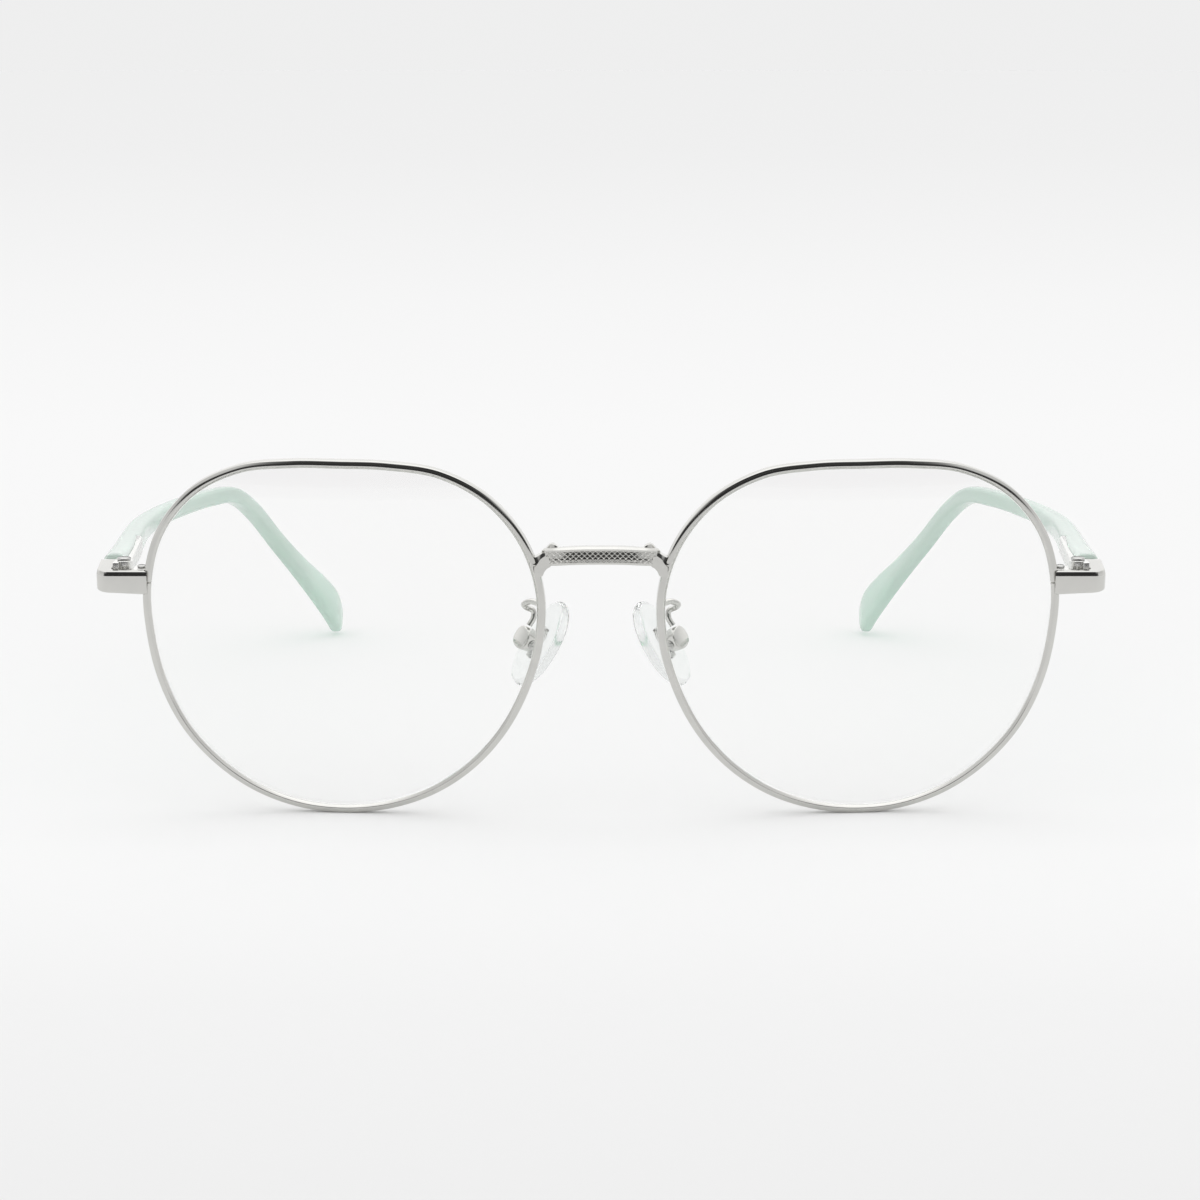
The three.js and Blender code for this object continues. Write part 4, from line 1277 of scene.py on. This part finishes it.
FLOOR_Z = CAD_BOX[0].z
FLOOR_RADIUS = 8.0
CAMERA_PLACE = Vector((0, -0.400, 0.06962))
CAMERA_PITCH = math.radians(10.7195)
CAMERA_LENS = 90.245                    # mm, on a 36 mm sensor
CAMERA_SHIFT = -1 / 1200                # one pixel of the photo
FLOOR_PAINTED_FALLOFF = [                        # (0.1 m over the distance from the camera, grey): painted light falloff, the floor darker far off and close to the camera
    (0.0, 0.822), (0.036, 0.832), (0.082, 0.884), (0.122, 0.906), (0.19, 0.902), (0.215, 0.914),
    (0.258, 0.926), (0.31, 0.862), (0.375, 0.83),
]
WHITE = (1, 1, 1)
BACKDROP_GREY = 0.86
SOFTBOX = (42, 56, 1.6)                 # degrees where it starts and is full, and its strength
WALLS = {                               # (degrees above the horizon, grey)
    "front": [
        (-90, 0.90), (-1, 0.93), (0.5, 0.04), (13, 0.04), (18, 0.08), (23, 0.04), (28, 0.04),
        (34, 0.5), (42, 1.0), (90, 1.0),
    ],
    "flank": [
        (-90, 0.90), (-1, 0.93), (0.5, 0.04), (9, 0.05), (14, 0.75), (30, 0.85), (42, 1.0),
        (90, 1.0),
    ],
    "side": [
        (-90, 0.90), (3, 0.93), (9, 0.78), (30, 0.78), (40, 0.85), (50, 1.0), (90, 1.0),
    ],
    "back": [
        (-90, 0.90), (2, 0.93), (8, 1.16), (40, 1.16), (52, 1.0), (90, 1.0),
    ],
}
WALL_TURNS = {"flank": (20, 36), "side": (40, 54), "back": (92, 125)}  # degrees round from -Y


def floor():
    ring = lathe_rings([(FLOOR_RADIUS, FLOOR_Z)], 96)[0]
    mesh = bpy.data.meshes.new("floor")
    mesh.from_pydata(ring, [], [tuple(range(len(ring)))])
    plate = bpy.data.objects.new("floor", mesh)
    bpy.context.scene.collection.objects.link(plate)
    material, tree, principled = shader("pale_floor")
    away = maths(tree, "SUBTRACT", coordinates(tree)["Y"], CAMERA_PLACE.y)
    slope = maths(tree, "DIVIDE", 0.1, maths(tree, "MAXIMUM", away, 0.2))
    # The floor's base colour carries painted light falloff: darker towards the back and towards
    # the camera.
    feed(principled, {
        "Base Color": ramp(tree, slope, FLOOR_PAINTED_FALLOFF), "Roughness": 0.9, "Specular IOR Level": 0,
    })
    mesh.materials.append(material)


def ramp_place(degrees):
    """The place on a ramp, from 0 to 1, of a height above the horizon."""
    return degrees / 180 + 0.5


def walls(tree, x, y, height):
    """The room's grey in a direction: four walls that fade into one another round the part."""
    flat = maths(tree, "SQRT", maths(
        tree, "ADD", maths(tree, "MULTIPLY", x, x), maths(tree, "MULTIPLY", y, y),
    ))
    facing = maths(tree, "DIVIDE", y, maths(tree, "MAXIMUM", flat, 1e-4))
    room = None
    for name, levels in WALLS.items():
        wall = ramp(tree, height, [(ramp_place(degrees), grey) for degrees, grey in levels])
        if room is None:
            room = wall
            continue
        start, stop = (-math.cos(math.radians(turn)) for turn in WALL_TURNS[name])
        round_to = mapped(tree, facing, start, stop, kind="SMOOTHSTEP")
        room = mixed_colour(tree, round_to, room, wall)
    return room


def background(tree, colour, strength):
    inputs = {"Color": colour, "Strength": strength}
    return new_node(tree, "Background", inputs).outputs["Background"]


def studio_light():
    """A pale room with a softbox overhead and a dark gap round the camera, as metal sees it.

    The camera sees a plain pale backdrop, and matt surfaces are lit evenly."""
    world = bpy.data.worlds.new("studio")
    bpy.context.scene.world = world
    world.use_nodes = True
    tree = world.node_tree
    tree.nodes.clear()
    x, y, z = coordinates(tree, "Generated")
    height = maths(tree, "MULTIPLY_ADD", maths(tree, "ARCSINE", z), 1 / math.pi, 0.5)
    start, stop, strength = SOFTBOX
    softbox = mapped(
        tree, height, ramp_place(start), ramp_place(stop), 1.0, strength, "SMOOTHSTEP",
    )
    seen = background(tree, walls(tree, x, y, height), softbox)
    even = background(tree, WHITE, 1.0)
    plain = background(tree, WHITE, BACKDROP_GREY)
    path = new_node(tree, "LightPath").outputs
    straight = maths(tree, "MAXIMUM", path["Is Camera Ray"], path["Is Transmission Ray"])
    lit = mixed_shader(tree, path["Is Diffuse Ray"], seen, even)
    final = mixed_shader(tree, straight, lit, plain)
    new_node(tree, "OutputWorld", {"Surface": final})


def camera():
    data = bpy.data.cameras.new("camera")
    data.lens = CAMERA_LENS
    data.sensor_width = 36
    data.shift_x = CAMERA_SHIFT
    data.clip_start = 0.01
    data.clip_end = 50
    eye = bpy.data.objects.new("camera", data)
    eye.location = CAMERA_PLACE
    eye.rotation_euler = (math.pi / 2 - CAMERA_PITCH, 0, 0)
    bpy.context.scene.collection.objects.link(eye)
    bpy.context.scene.camera = eye


floor()
studio_light()
camera()
bpy.context.scene.view_settings.view_transform = "Standard"
